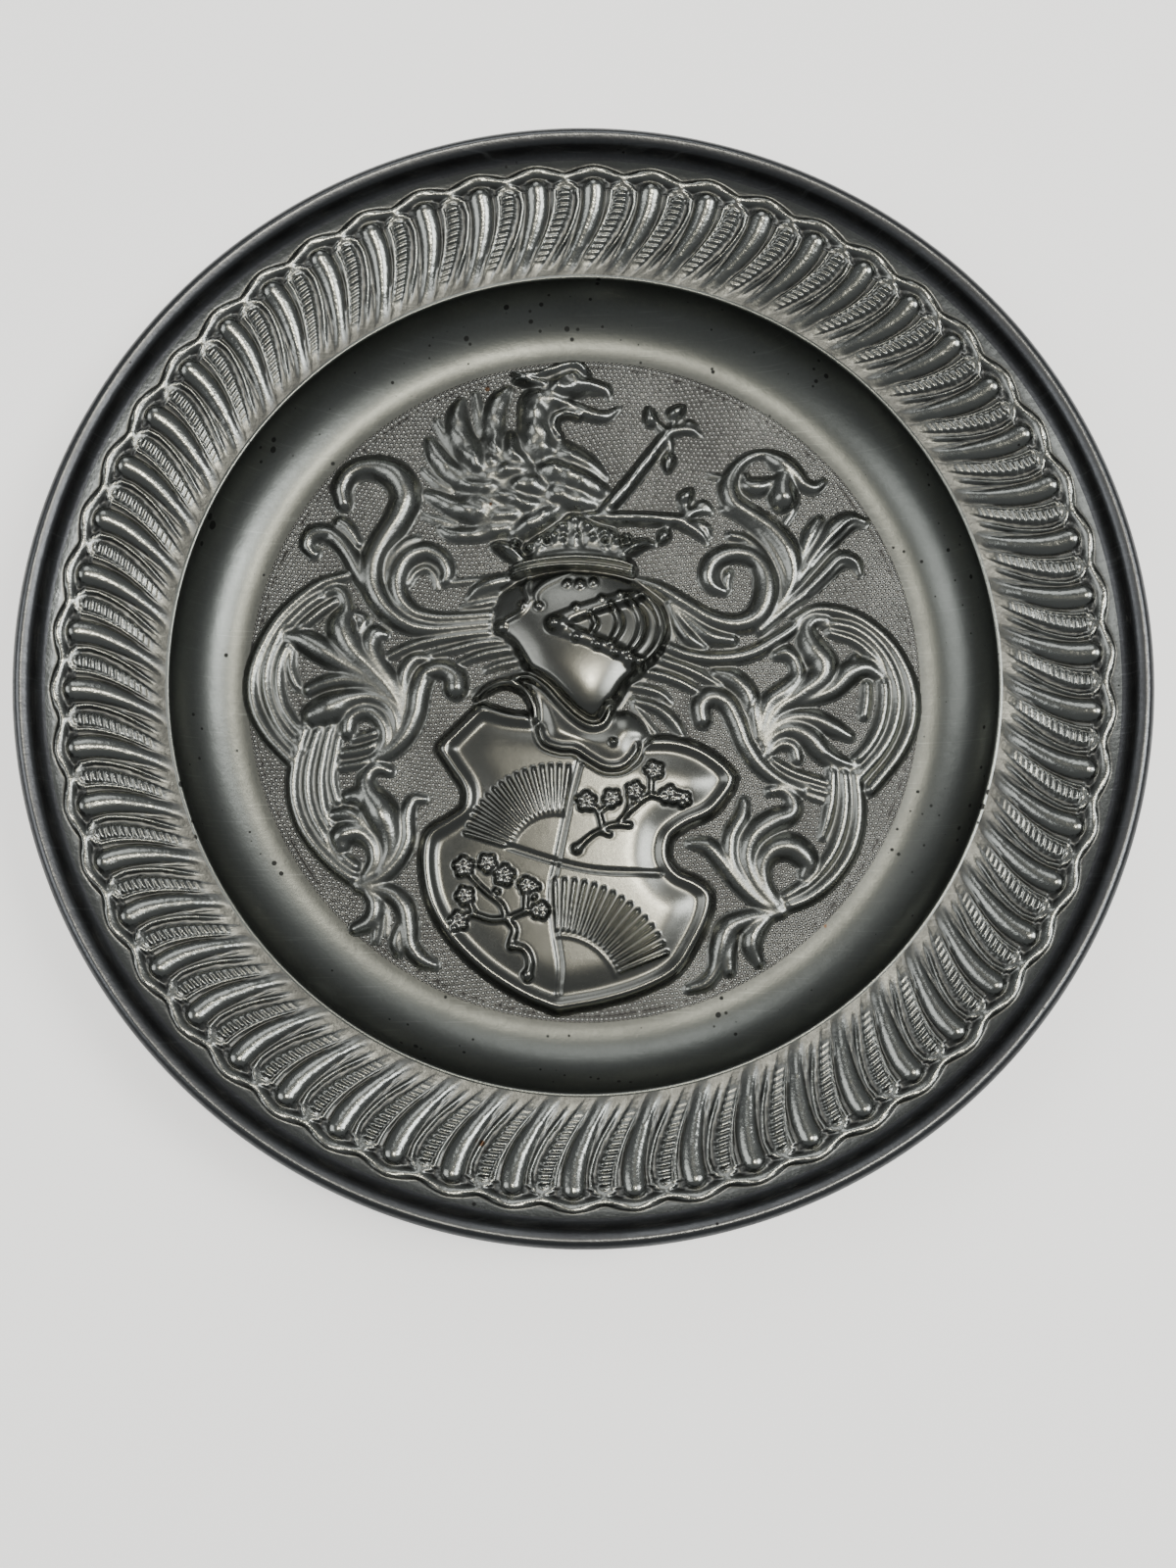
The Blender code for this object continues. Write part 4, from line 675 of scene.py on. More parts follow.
RIGHT_GROOVES = [
    [(81.5, 46.2, 0.8), (77, 46.4, 1), (73.2, 42.8, 1.1), (69, 38.8, 0.9), (64.5, 33.5, 0.7)],
    [(78.3, 31.6, 0.8), (76.6, 34.2, 1), (73.4, 34.6, 1), (69.4, 30.4, 0.9), (64, 25.4, 0.7)],
    [(48.4, 33.2, 1), (44.4, 34.4, 1.2), (41, 33.8, 1.1), (39.6, 31, 1)],
    [(75.5, -24.6, 0.9), (71.5, -23.8, 0.9), (67.5, -21.8, 0.9)],
    [(52, -53.5, 0.9), (56, -51.3, 1), (60.3, -52.8, 0.9)],
    [(48, -5, 0.7), (46.5, -10, 0.8), (47.6, -17, 0.7)],
]

print(f"right: {len(RIGHT_RIBBONS)} ribbons, {len(RIGHT_SCROLLS)} scrolls,",
      f"{len(RIGHT_LEAVES)} leaves")

# %% Lay the mantling
LAYERS = {}


def lay(name, layer):
    """Keeps the layer of one group; the groups cover each other in the order they are laid."""
    LAYERS[name] = layer
    print(f"{name} stands up to {layer.height.max():.1f} mm over the ground")


def mantling(ribbons, scrolls, leaves, grooves):
    """One side: ribbons, the scrolled ends laid on them, and the leaves on top."""
    folds = Layer()
    folds.strokes(ribbons, lift=0.42)
    rolled = Layer()
    rolled.strokes(fuller(scrolls, 1.08), lift=0.4)
    foliage = Layer()
    foliage.strokes(fuller(leaves, 1.18), lift=0.38)
    rolled.ridges(grooves, -0.9)
    foliage.ridges(grooves, -0.9)
    whole = folds.under(rolled).under(foliage)
    whole.ease(1)
    return whole


lay("mantling_left", mantling(LEFT_RIBBONS, LEFT_SCROLLS, LEFT_LEAVES, LEFT_GROOVES))
lay("mantling_right", mantling(RIGHT_RIBBONS, RIGHT_SCROLLS, RIGHT_LEAVES, RIGHT_GROOVES))

# %% [markdown]
# ## The crest, the shield and the helmet
# The front half of a griffin rises from the crown. Its feathers are strokes laid side by side over a
# low body, its head is a pillow with a few ridges. The shield is a flat field inside a rolled border;
# a sun's rays fill two of its quarters and are worked out from an angle and a count, because they
# are the one part of the carving that follows a rule. The helmet is the highest form, a dome with
# the bars of its visor raised on it.

# %% The griffin's feathers, head and forelegs
# the wing's long feathers, from the ones behind to the ones in front
WING = [
    [(-32, 85, 2.2), (-31, 80.5, 3.2), (-30, 74, 3)],
    [(-43, 76.8, 2), (-41, 73, 2.8), (-37.8, 67.4, 3)],
    [(-46.6, 62, 1.8), (-43.4, 59, 2.4), (-39, 56.4, 2)],
    [(-46.4, 48.6, 1.6), (-42.4, 47.2, 2.4), (-38, 46, 2)],
    [(-22.6, 86.4, 3), (-25, 83, 6), (-26.4, 78, 7.2), (-26.4, 72.4, 7.2), (-24, 66, 6)],
    [(-36, 82.6, 3.2), (-37, 79, 6.2), (-36.4, 73, 8), (-33.4, 67, 8.6), (-29, 61, 8)],
    [(-45, 70.8, 3.2), (-43.4, 67.4, 5.6), (-39.6, 62.4, 7), (-34, 58.6, 6.8), (-27, 56.8, 5.4)],
    [(-45.6, 55, 3), (-42, 53.4, 5), (-36.6, 50.6, 6), (-30, 48.6, 6), (-24, 47.6, 5)],
    [(-41.2, 44.6, 2.4), (-38.6, 43.2, 4), (-34, 42.8, 4.6), (-28, 43.6, 4.6), (-22, 44.6, 4)],
]

# the short feathers of the shoulder and the breast, again from behind to the front
DOWN = [
    [(-28.8, 67.4, 3), (-27, 64.4, 4.8), (-24, 61.4, 4)],
    [(-21.8, 73, 3), (-21.2, 69.6, 6.4), (-19.6, 65.4, 7), (-17, 61.6, 5)],
    [(-34.6, 53.2, 2), (-31.4, 52.8, 3.2), (-27, 51.2, 3.4)],
    [(-33, 59.6, 2), (-27.6, 60.4, 3.6), (-22.6, 61.8, 5), (-18, 62, 4)],
    [(-29.6, 47.6, 2), (-25, 48.4, 3.2), (-19.6, 48.8, 3)],
    [(-27.4, 54, 2.2), (-22, 54.2, 4), (-16.6, 51.6, 4.6), (-11.6, 51.6, 3)],
    [(5.6, 60.4, 2.4), (1, 63.6, 6.4), (-5, 66.6, 8.4), (-13, 70.4, 8)],
    [(8, 54.8, 2.4), (3, 56.8, 6.4), (-3, 59.6, 8.4), (-10, 62.6, 8)],
    [(-12, 56, 3.4), (-15.4, 57.8, 6), (-19.4, 57.6, 5)],
    [(3.6, 51.6, 3), (-1.4, 52.6, 6), (-8, 54.8, 6)],
    [(-7.6, 51, 3), (-11.6, 48, 6), (-15.6, 45.6, 6.4), (-20, 43, 4.4)],
]

BREAST = [
    (-21, 74), (-30, 72), (-36, 67), (-36, 58), (-38, 51), (-32, 45), (-22, 42.6), (-12, 44.4),
    (-3, 49.4), (5, 51.6), (6, 56.6), (2.4, 62.6), (-3.6, 66), (-9.4, 69.4), (-13, 74),
]

# the neck and the head with the upper beak, as one outline
HEAD = [
    (-19.6, 79), (-19.2, 83.4), (-17, 86.6), (-14, 88.4), (-12.6, 91), (-8, 92.8), (-4, 94.2),
    (-0.8, 93.6), (0.6, 91), (4.4, 89.4), (7, 88.2), (8, 85.8), (7, 83.4), (5.6, 85), (1, 85.2),
    (-2.6, 83.6), (-6, 80.8), (-8.8, 79), (-9.4, 75.4), (-8, 71.4), (-7, 67.4), (-12, 63.4), (-18, 66),
    (-19.4, 72),
]

HEAD_CROWN = [
    [(-20.8, 91.2, 1.2), (-17.6, 90.4, 2.6), (-13.4, 90.6, 3.2), (-9.2, 91.9, 3.6), (-5.6, 93.2, 3.6),
     (-2, 93.4, 3.4), (0.4, 91.4, 2.4)],
    [(-20.6, 89.4, 1), (-16.6, 88.6, 2.4), (-12, 87.6, 2.6)],
]

BEAK = [
    [(-9, 82.8, 4.8), (-4.6, 81.4, 4.6), (-0.4, 79.8, 4.2), (3, 78.8, 3.8), (6.4, 78.8, 3.2),
     (9.9, 81.1, 1.2)],
    [(-1.6, 78.3, 1.9), (-5, 79.2, 2.6), (-8.2, 78, 3), (-9, 75, 3), (-7.2, 72.2, 2)],
]

# swellings on the head, each with its radius and rise, and the lines cut into it
HEAD_BUMPS = [
    (-3.4, 90.6, 1.6, 0.5), (-6.4, 86.6, 3.4, 0.8), (-1.4, 87.4, 2.4, 0.4), (-12.4, 73.6, 3.8, 0.8),
    (-15, 79, 3.4, 0.4),
]

HEAD_CUTS = [
    ([(-8.6, 84.2, 1), (-5, 83.8, 1.3), (-1.8, 83.4, 1.4), (0.6, 84.6, 1)], -1.5),
    ([(-9.4, 81.2, 1), (-5, 80.2, 1), (-2, 79.2, 0.8)], -0.8),
    ([(-6.4, 88.6, 0.8), (-3.4, 88.8, 1.1), (0.6, 90, 0.9)], -0.7),
    ([(1.4, 86.4, 0.7), (4.6, 86.6, 0.9), (6.6, 85.6, 0.7)], -0.4),
]

LEGS = [
    [(5, 49.6, 4), (8, 52.6, 4.6), (13.6, 59.4, 4.4), (24.3, 73.6, 3.8)],
    [(19.6, 78.6, 1.6), (22, 75.2, 2.6), (24.6, 73.4, 3)],
    [(24.5, 73.6, 3), (28.4, 74.6, 3), (31.4, 74.4, 2.6), (33.6, 73, 1)],
    [(28.4, 75.6, 1.6), (30.4, 76.6, 2.2), (32.4, 75.6, 1.4)],
    [(25, 74, 2.4), (26, 77.4, 2)],
    [(24.6, 73, 2.4), (24.6, 68, 2)],
    [(0, 47.9, 4), (12, 48.1, 4.2), (22, 47.7, 4.2), (28.6, 47.2, 4.2)],
    [(29, 48, 2.4), (29, 52.4, 2.6)],
    [(28.6, 47.8, 3), (32.4, 50.4, 3), (36.6, 50, 1.2)],
    [(32.4, 52, 1.6), (34.4, 52.2, 2.4), (36.4, 50.8, 1.4)],
    [(27, 47, 3.6), (31, 45, 3.6), (34, 42.4, 2.4), (35, 40.6, 1)],
    [(31.4, 46.6, 2.6), (34.6, 45.4, 2.8), (35.8, 43, 1.6)],
    [(24, 46.4, 2.6), (23, 43, 2)],
]

# each toe's ball, its radius and the tip of its claw
TOES = [
    (19.2, 77.4, 2.2, 18.4, 81.6), (26, 79.4, 2.3, 29, 81.8), (24.4, 65.6, 2.1, 23.8, 61.6),
    (28.8, 54, 2.2, 31, 56.8), (23, 43, 2, 21.4, 40.6),
]

print(f"{len(WING + DOWN)} feathers and {len(TOES)} toes")


# %% The griffin
def shingled(layer, feathers, **form):
    """Feathers laid one over another, so that each one covers the root of the last."""
    for feather in feathers:
        upper = Layer()
        upper.stroke(feather, **form)
        layer = layer.under(upper, moat=0.9, kept=0.5)
    return layer


def griffin():
    """A low body under its feathers, the head laid on them and the forelegs on top."""
    body = Layer()
    body.pillow(BREAST, 2.4, 14, fullness=0.8)
    plumage = shingled(shingled(Layer(), WING, lift=0.34), DOWN, lift=0.36)
    body.height = 0.85 * body.height + plumage.height
    body.away = np.minimum(body.away, plumage.away)
    head = Layer()
    head.pillow(HEAD, 3.9, 4.6, fullness=0.8)
    head.strokes(BEAK[:1], lift=0.7)
    head.ease(3)
    face = Layer()
    face.strokes(HEAD_CROWN, top=4.6)
    face.strokes(BEAK[1:], top=3.4)
    head = head.under(face, moat=1.2, kept=0.72)
    for x, y, radius, rise in HEAD_BUMPS:
        head.ridge(dot(x, y, 2 * radius), rise)
    for line, rise in HEAD_CUTS:
        head.ridge(line, rise)
    legs = Layer()
    legs.strokes(LEGS, lift=0.6)
    for x, y, radius, tip_x, tip_y in TOES:
        legs.stroke([(x, y, 2 * radius), ((x + tip_x) / 2, (y + tip_y) / 2, 1.5 * radius),
                     (tip_x, tip_y, 0.5)], top=2.6)
    whole = body.under(head, moat=1.6, kept=0.7).under(legs)
    # worn plumage is uneven: waves that cross make lumps about 4 to 7 mm apart
    lumps = (np.sin(0.9 * SHEET_X + 0.5 * SHEET_Y) * np.sin(0.8 * SHEET_Y - 0.45 * SHEET_X + 1)
             + 0.5 * np.sin(1.7 * SHEET_X) * np.sin(1.5 * SHEET_Y))
    whole.height = whole.height * (1 + 0.11 * lumps)
    whole.ease(2)
    return whole


lay("griffin", griffin())

# %% The shield's border, suns and twigs
SHIELD_SIDES = [
    [(-29, -8.2), (-40, -19.2)],
    [(-40, -19.2), (-36.4, -24.5), (-32.6, -30.5), (-33, -36.5), (-38, -40.4), (-43, -44), (-44, -52),
     (-42, -62), (-36.5, -71.5), (-27.5, -80.3), (-17, -87), (-7.5, -91)],
    [(-7.5, -91), (5, -88.7), (16, -85.3), (24.6, -80.6), (29.4, -73.5), (32.8, -66.5), (33.8, -60.5),
     (30.5, -57.4), (25, -54.8), (21.9, -50), (22.8, -43.8), (28, -39.7), (34.6, -36.6), (39.6, -30.8),
     (41, -27.4)],
    [(41, -27.4), (38, -24), (31.6, -19.8), (24, -17.7), (15, -18)],
    [(-29, -8.2), (-21, -10.6), (-11, -11.4)],
]

# the field's corners behind the neck plate
SHIELD_TOP = [(15, -17), (10, -14), (-5, -10), (-11, -11), (-21, -10)]

QUARTER_LINES = [
    [(-1.4, -23), (-4.4, -35), (-7.8, -51.4), (-9.3, -60), (-8.3, -70), (-6.8, -80), (-7.3, -87.5)],
    [(-21.5, -47), (-8, -51.2), (4, -53.7), (21, -54.3)],
]

# each sun: its middle, disc radius, ray ends, first and last angle, count
SUNS = [
    ((-8, -51), 13.2, (14, 27.4), (82.5, 163), 16),
    ((-7, -88), 16.4, (17.8, 32.6), (21.5, 92.5), 15),
]

TWIGS = [
    [(-2, -47.4, 2.4), (1, -44.6, 1.8), (4, -42.8, 1.8), (7, -43.6, 1.8)],
    [(4, -42.8, 1.8), (7.6, -41, 1.8), (12.6, -41, 2)],
    [(5, -42, 1.8), (4.2, -38.6, 1.7), (3, -36, 1.6)],
    [(4, -37.6, 1.4), (6.6, -35.4, 1.4)],
    [(9.8, -40, 1.8), (13.6, -36, 1.8), (18, -32.8, 1.8), (21.6, -33.4, 1.8)],
    [(10.8, -39, 1.4), (12.4, -35.6, 1.5), (12.4, -31.6, 1.5)],
    [(18.4, -32.6, 1.4), (18.6, -28.4, 1.6)],
    [(-15.8, -83.4, 3), (-15, -79, 2.6), (-16.6, -75.4, 2.4), (-20, -74, 2.6), (-19.4, -70, 2.2),
     (-21.6, -67, 2.2)],
    [(-21.6, -67, 2), (-23.2, -63, 1.7), (-27.6, -59.4, 1.6), (-31, -56, 1.6), (-32.6, -54, 1.6)],
    [(-21.6, -67, 2), (-26, -67.2, 2.2), (-31, -65.8, 2), (-34, -66.6, 1.6)],
    [(-21, -66.8, 1.8), (-16.4, -65, 1.8), (-13, -64.8, 1.6)],
    [(-16.4, -65, 1.6), (-16.2, -61, 2), (-15.8, -58, 1.6)],
    [(-30.4, -65.4, 1.6), (-32.4, -62, 1.6)],
]

# each blossom's middle, radius and turn, and each bud's middle and radius
PETALS = 5
BLOSSOMS = [
    (0.4, -34.4, 3.1, 0.3), (7.6, -33.5, 2.9, 0.9), (14, -31.4, 2.9, 0.1), (19.4, -25.6, 3, 0.6),
    (23.7, -32.6, 3, 0.2), (27.4, -33.7, 2.5, 0.8), (-33.6, -52.6, 3.2, 0.4), (-27, -51.6, 2.9, 0.9),
    (-22.4, -55, 3.3, 0.2), (-34.9, -67.6, 3.1, 0.5), (-33.2, -60.6, 2.9, 0.7),
    (-12.2, -64.7, 2.8, 0.1), (-16, -57.8, 2.7, 0.5),
]

BUDS = [
    (-13, -58.2, 1.2), (-14, -61, 1.1), (-24.4, -59.4, 1.3), (-2.2, -47.6, 1.8), (-15.8, -82.6, 2),
    (-20, -74.4, 1.7),
]

print(f"{len(SUNS)} suns, {len(TWIGS)} twigs and {len(BLOSSOMS)} blossoms")


# %% The shield
def blossom(layer, x, y, radius, turn):
    """Five round petals, one every fifth of a turn, and a higher bud in the middle."""
    for k in range(PETALS):
        angle = turn + 2 * math.pi * k / PETALS
        layer.dome(x + 0.6 * radius * math.cos(angle), y + 0.6 * radius * math.sin(angle),
                   0.5 * radius, 1.8)
    layer.dome(x, y, 0.36 * radius, 2.1)


def shield():
    """A thin field that swells towards its right half, a rolled border, and the charges on them."""
    field = Layer()
    outline = [point for side in SHIELD_SIDES[:4] for point in side[:-1]] + SHIELD_TOP
    field.pillow(outline, 0.8, 1.2, rounding=False)
    inward = softened(np.clip(-field.away / 8, 0, 1), 6, 2)
    bulge = 2.1 * rounded(SHEET_X - 22, 70) * inward
    field.height = np.where(field.height > 0, field.height + bulge, 0)
    field.strokes([wide(side, 5.0) for side in SHIELD_SIDES], top=3.1, power=1.15)
    field.ease(3)
    for line in QUARTER_LINES:
        field.ridge(wide(line, 1.5), -1.1)
        field.ridge(wide(line, 0.7), 0.7)
    for (x, y), disc, (start, stop), (first, last), rays in SUNS:
        arc = np.radians(np.linspace(first - 2, last, 14))
        field.ridge([(x + disc * math.cos(a), y + disc * math.sin(a), 1.3) for a in arc], 0.35)
        for turn in np.radians(np.linspace(first, last, rays)):
            field.ridge([(x + r * math.cos(turn), y + r * math.sin(turn), w)
                         for r, w in ((start, 0.7), ((start + stop) / 2, 1.0), (stop - 0.8, 1.1))], 1.35)
    sprigs = Layer()
    sprigs.strokes(TWIGS, top=1.5)
    for x, y, radius, turn in BLOSSOMS:
        blossom(sprigs, x, y, radius, turn)
    for x, y, radius in BUDS:
        sprigs.dome(x, y, radius, 1.8)
    floor = np.where(sprigs.height > 0, 0.9 * field.height, 0)
    sprigs.height = sprigs.height + floor
    return field.under(sprigs, 0.5, 0.85)


lay("shield", shield())

# %% The helmet's shell and visor
HELMET = [
    (-26.6, 14), (-26.6, 19), (-25, 24.4), (-21, 28.4), (-15, 31.4), (-7, 33), (2, 33.2), (10, 31.8),
    (17, 28.2), (22.4, 23), (24.4, 17), (23.6, 10.6), (20.4, 5.4), (16.6, 2.2), (12, -2), (8.8, -7),
    (3, -12), (-2, -10.4), (-6.6, -6), (-11, -1.6), (-16.4, 2), (-19, 6.4), (-22, 11),
]

# lines raised (+) or cut (-) on the helmet's shell, with how much
HELMET_LINES = [
    ([(-16.4, 30, 2.4), (-17, 26.4, 2.6), (-16, 22.6, 2.4), (-18.4, 19.2, 2.2), (-22.4, 17, 1.8)], 0.7),
    ([(-13.6, 21.6, 1.6), (-14, 24.6, 2.4), (-11.6, 27.4, 2.8), (-7.4, 29.8, 3.2),
      (-4, 31.2, 2.2)], 0.5),
    ([(24.6, 12, 1.2), (21.4, 6.6, 1.4), (16.6, 3.4, 1.2)], -0.5),
]

VISOR_FRAME = [
    [(-8.6, 15.6, 3), (-2.4, 18.6, 2.4), (4.9, 21.2, 2.4), (12.3, 23.6, 2.4), (16.4, 24.8, 1.6)],
    [(-8.6, 15.2, 3), (-3, 12.8, 2.4), (3, 10.6, 2.4), (9.4, 7.8, 2.4), (15, 5.2, 1.8)],
]

VISOR_OPENING = [(-6, 15.4), (12.4, 22.8), (17.6, 23.6), (21, 18), (21.2, 12), (16.8, 6), (11.6, 7.4)]

VISOR_BARS = [
    [(1.6, 18.4, 1.6), (3, 15.8, 2.2), (2, 13, 1.6)],
    [(7.4, 21, 2.2), (9.4, 17.9, 3), (9.6, 14.6, 3), (7.2, 10, 2.2)],
    [(12, 22.8, 2.4), (15, 20, 3.2), (16.2, 16, 3.4), (15.2, 11.6, 3.2), (12.4, 7.6, 2.4)],
    [(16.2, 24.8, 2.8), (20.2, 21.2, 4), (22, 16, 4.4), (20.8, 10.2, 4.2), (17, 5.6, 3)],
]

VISOR_STUDS = [
    (-8.9, 15.4, 2.1), (-2.6, 20.6, 1.3), (4.6, 23.2, 1.2), (9.9, 24.8, 1), (-2.6, 11.2, 1.4),
    (3.4, 9, 1.5), (8.6, 6.9, 1.4), (12.6, 4.6, 1.7), (16.4, 3.6, 1.7),
]

RIVETS = [
    (-24, 15.2, 2.3), (-17.8, 21.6, 1.4), (-13, 20.9, 1.5), (-5, 27.8, 1.6), (-1.4, 27.5, 1.9),
    (2.4, 28.2, 1.5),
]

print(f"{len(VISOR_BARS)} visor bars, {len(VISOR_STUDS)} studs and {len(RIVETS)} rivets")


# %% The helmet
def helmet():
    """A pillow with a dome on it, whose height falls with the squares of x and y."""
    shell = Layer()
    shell.pillow(HELMET, 1.9, 7.5, fullness=0.8)
    shell.ease(9, 3)
    dome = 5.2 * np.maximum(0, 1 - ((SHEET_X + 1.3) / 29) ** 2 - ((SHEET_Y - 3.4) / 34) ** 2)
    shell.height = shell.height + dome * softened(np.clip(shell.height / 1.1, 0, 1), 2, 2)
    for line, rise in HELMET_LINES:
        shell.ridge(line, rise)
    opening = Layer()
    opening.pillow(VISOR_OPENING, 1.0, 1.5)
    shell.height = np.maximum(shell.height - opening.height, 0.05 * (shell.height > 0))
    shell.ridges(VISOR_BARS, 1.6)
    shell.ridges(fuller(VISOR_FRAME, 2), 1.15)
    shell.ridges([dot(x, y, 2 * radius) for x, y, radius in VISOR_STUDS], 1.0)
    for x, y, radius in RIVETS:
        shell.rivet(x, y, radius, 1.4)
    return shell


lay("helmet", helmet())

# %% The neck plate
GORGET = [
    (-19, -1), (-13, -0.6), (-9, -4), (-4, -9.4), (0.6, -12.6), (4.4, -12.2), (7, -9.4), (11, -8.4),
    (15, -9.6), (18, -13.4), (18.6, -16.6), (16.2, -19.2), (15, -23), (11, -25.6), (6, -26), (2, -24),
    (-2, -21), (-7, -20.4), (-11.4, -18.8), (-13.4, -15), (-13.2, -11), (-14, -7),
]

GORGET_ROLLS = [
    [(-30.6, -5, 1.6), (-27, -2, 2.6), (-22, -0.6, 3), (-17, -2.6, 3.2), (-14.4, -7, 3),
     (-13.8, -11.4, 2.6)],
    [(-20.6, 0.6, 1.6), (-16, 1, 2.6), (-11.4, -1.6, 3), (-7.4, -6, 3), (-3, -10.4, 3.2),
     (1.4, -13, 3.2), (5, -12.4, 3), (6.6, -9.6, 3), (7.2, -7.8, 2.8)],
    [(-12.8, -13.6, 3), (-11.4, -17.4, 3.2), (-7, -19.2, 3.4), (-2.6, -19.6, 3.4), (1.4, -22.2, 3.4),
     (6, -24.6, 3.6), (10.6, -24.2, 3.6), (13.8, -21, 3.2), (15, -18.4, 2.4)],
]


def gorget():
    """The neck plate: a pillow with rolled edges and one rivet."""
    plate = Layer()
    plate.pillow(GORGET, 3.3, 8, fullness=0.7)
    plate.strokes(GORGET_ROLLS[:2], top=4.2)
    plate.strokes(GORGET_ROLLS[2:], top=3.8)
    plate.ease(2)
    plate.dome(8, -17.7, 2.2, 4.5)
    return plate


lay("gorget", gorget())

# %% The crown
CROWN_BAND = [
    (-20.8, 32.4), (-16, 37), (-8, 39), (-2, 39.6), (6, 38.6), (12, 37), (14.5, 34), (14.3, 30.6),
    (7, 31.6), (-1.5, 32.4), (-10, 31.8), (-17, 30), (-20.6, 29.6),
]

CROWN_BACK = [
    (-15.6, 36), (-16, 40.6), (-12.4, 43.6), (-9.6, 45.4), (-6.6, 47.4), (-4.6, 49.4), (-1.4, 49.4),
    (1.4, 47.6), (5, 46), (8.6, 44.6), (10.4, 41.4), (10.2, 36), (-3, 36),
]

CROWN_RINGS = [
    [(-20.6, 32.6, 1.8), (-17, 33.8, 1.9), (-10.3, 35, 2), (-2.4, 35.6, 2), (5.5, 35, 2),
     (10.7, 34, 1.9), (14, 32.9, 1.6)],
    [(-20.8, 30.6, 1.6), (-16.6, 31.8, 1.8), (-10.3, 32.9, 1.9), (-2.4, 33.3, 1.9), (6, 32.6, 1.9),
     (13.8, 31.1, 1.6)],
]

# the crown's trefoils: a stem, then lobes of (x, y, radius)
CROWN_LEAVES = [
    [(-6.6, 37, 1.4), (-3.4, 39, 3), (-2.9, 42, 3.4), (-2.9, 46, 3.6)],
    [(0.8, 36.6, 1.4), (-2.2, 39, 3), (-2.9, 42, 3.4)],
    [(-14, 36.8, 3), (-11.6, 40, 3.6)],
    [(6.4, 37, 3), (5.4, 40.6, 4)],
    [(9.2, 36.4, 3), (13.4, 39, 4.4), (17, 40.4, 3.2), (20.2, 40.2, 1)],
    [(-18.4, 35, 4), (-21.6, 37.8, 5), (-24.6, 39.4, 3.4), (-26.6, 39.6, 1.4)],
]

CROWN_LOBES = [
    (-2.9, 46.8, 2.7), (-6.4, 44.8, 2.3), (0.8, 45, 2.3), (-9.4, 41.8, 2.7), (-12.8, 41, 1.8),
    (5.6, 42.9, 2.8), (9.2, 41, 1.8), (-6.2, 41.6, 1.6), (2.2, 41.8, 1.6), (-2.3, 42.6, 1.7),
    (-16, 38.8, 1.7),
]

CROWN_PEARLS = [
    (-11, 40.9, 1.4, 5.2), (-20, 40.1, 1.5, 4.4), (11.9, 41.6, 1.7, 4.8), (5.8, 40.9, 1.5, 5.2),
]

CROWN_CUTS = [
    [(10.4, 37.4, 1), (14.4, 40, 1.2), (19, 40.6, 0.9)],
    [(-5.4, 39.6, 1.2), (-5, 43, 1)],
    [(-0.4, 39.6, 1.2), (-0.8, 43, 1)],
    [(-24.6, 38.6, 0.8), (-20.6, 36.6, 1), (-18, 34.6, 0.8)],
]


def crown():
    """A band with leaves that rise from it, two rings round it and pearls between the leaves."""
    band = Layer()
    band.pillow(CROWN_BACK, 2.4, 2.4)
    band.pillow(CROWN_BAND, 3.4, 3)
    band.strokes(CROWN_LEAVES, lift=0.95)
    for x, y, radius in CROWN_LOBES:
        band.dome(x, y, radius, 4.2)
    band.ease(1)
    band.strokes(CROWN_RINGS, top=4.9)
    band.ridges(CROWN_CUTS, -0.8)
    pearls = Layer()
    for x, y, radius, top in CROWN_PEARLS:
        pearls.dome(x, y, radius, top)
    return band.under(pearls, 0.5, 0.6)


lay("crown", crown())

# %% Lay the layers over each other
relief = Layer()
owner = np.full(relief.height.shape, -1)
for number, (name, layer) in enumerate(LAYERS.items()):
    # the two sides of the mantling lie beside each other, so neither presses the other down
    if name == "mantling_right":
        relief.height = np.maximum(relief.height, layer.height)
        relief.away = np.minimum(relief.away, layer.away)
    else:
        relief = relief.under(layer)
    owner[layer.away < 0] = number
relief.height = softened(relief.height, 1)
print(f"the relief stands up to {relief.height.max():.1f} mm over its ground")

# %% Turn the sheet into pieces, one for each group
RAISED_FROM = 0.01  # anything lower is open ground
FLOOR_Z = GROUND_Z - PUNCH_DEPTH
sheet_x, sheet_y = np.meshgrid(SHEET_AXIS, SHEET_AXIS)
relief_z = np.where(relief.height > RAISED_FROM, GROUND_Z + relief.height, FLOOR_Z - 0.05)
slope_y, slope_x = np.gradient(relief_z, SHEET_PITCH)
relief_normals = np.stack([-slope_x, -slope_y, np.ones_like(slope_x)], axis=-1)
relief_normals /= np.linalg.norm(relief_normals, axis=-1, keepdims=True)
# a point is hollow by as much as it lies under the softened relief, and a little more near the ground
valley = np.clip(softened(relief.height, 4, 2) - relief.height, -1.2, 0.5)
relief_hollow = 0.48 + 0.4 * valley + 0.1 * np.clip(0.9 - relief.height, 0, 1)
spread = softened((relief.height > RAISED_FROM).astype(float), 1, 1) > 0
raised = spread[:-1, :-1] | spread[1:, :-1] | spread[:-1, 1:] | spread[1:, 1:]

# each cell goes to its group, and an open cell beside a group goes to the closest one
closest = np.argmin([layer.away for layer in LAYERS.values()], axis=0)
cells_of = np.where(owner < 0, closest, owner)[:-1, :-1]
index = np.arange(sheet_x.size).reshape(sheet_x.shape)
for number, name in enumerate(LAYERS):
    rows, columns = np.nonzero(raised & (cells_of == number))
    quads = np.stack([index[rows, columns], index[rows, columns + 1],
                      index[rows + 1, columns + 1], index[rows + 1, columns]], axis=-1)
    used, faces = np.unique(quads, return_inverse=True)
    points = np.stack([sheet.ravel()[used] for sheet in (sheet_x, sheet_y, relief_z)], axis=-1)
    add_piece(name, points, [faces.reshape(-1, 4)], relief_hollow.ravel()[used],
              relief_normals.reshape(-1, 3)[used])

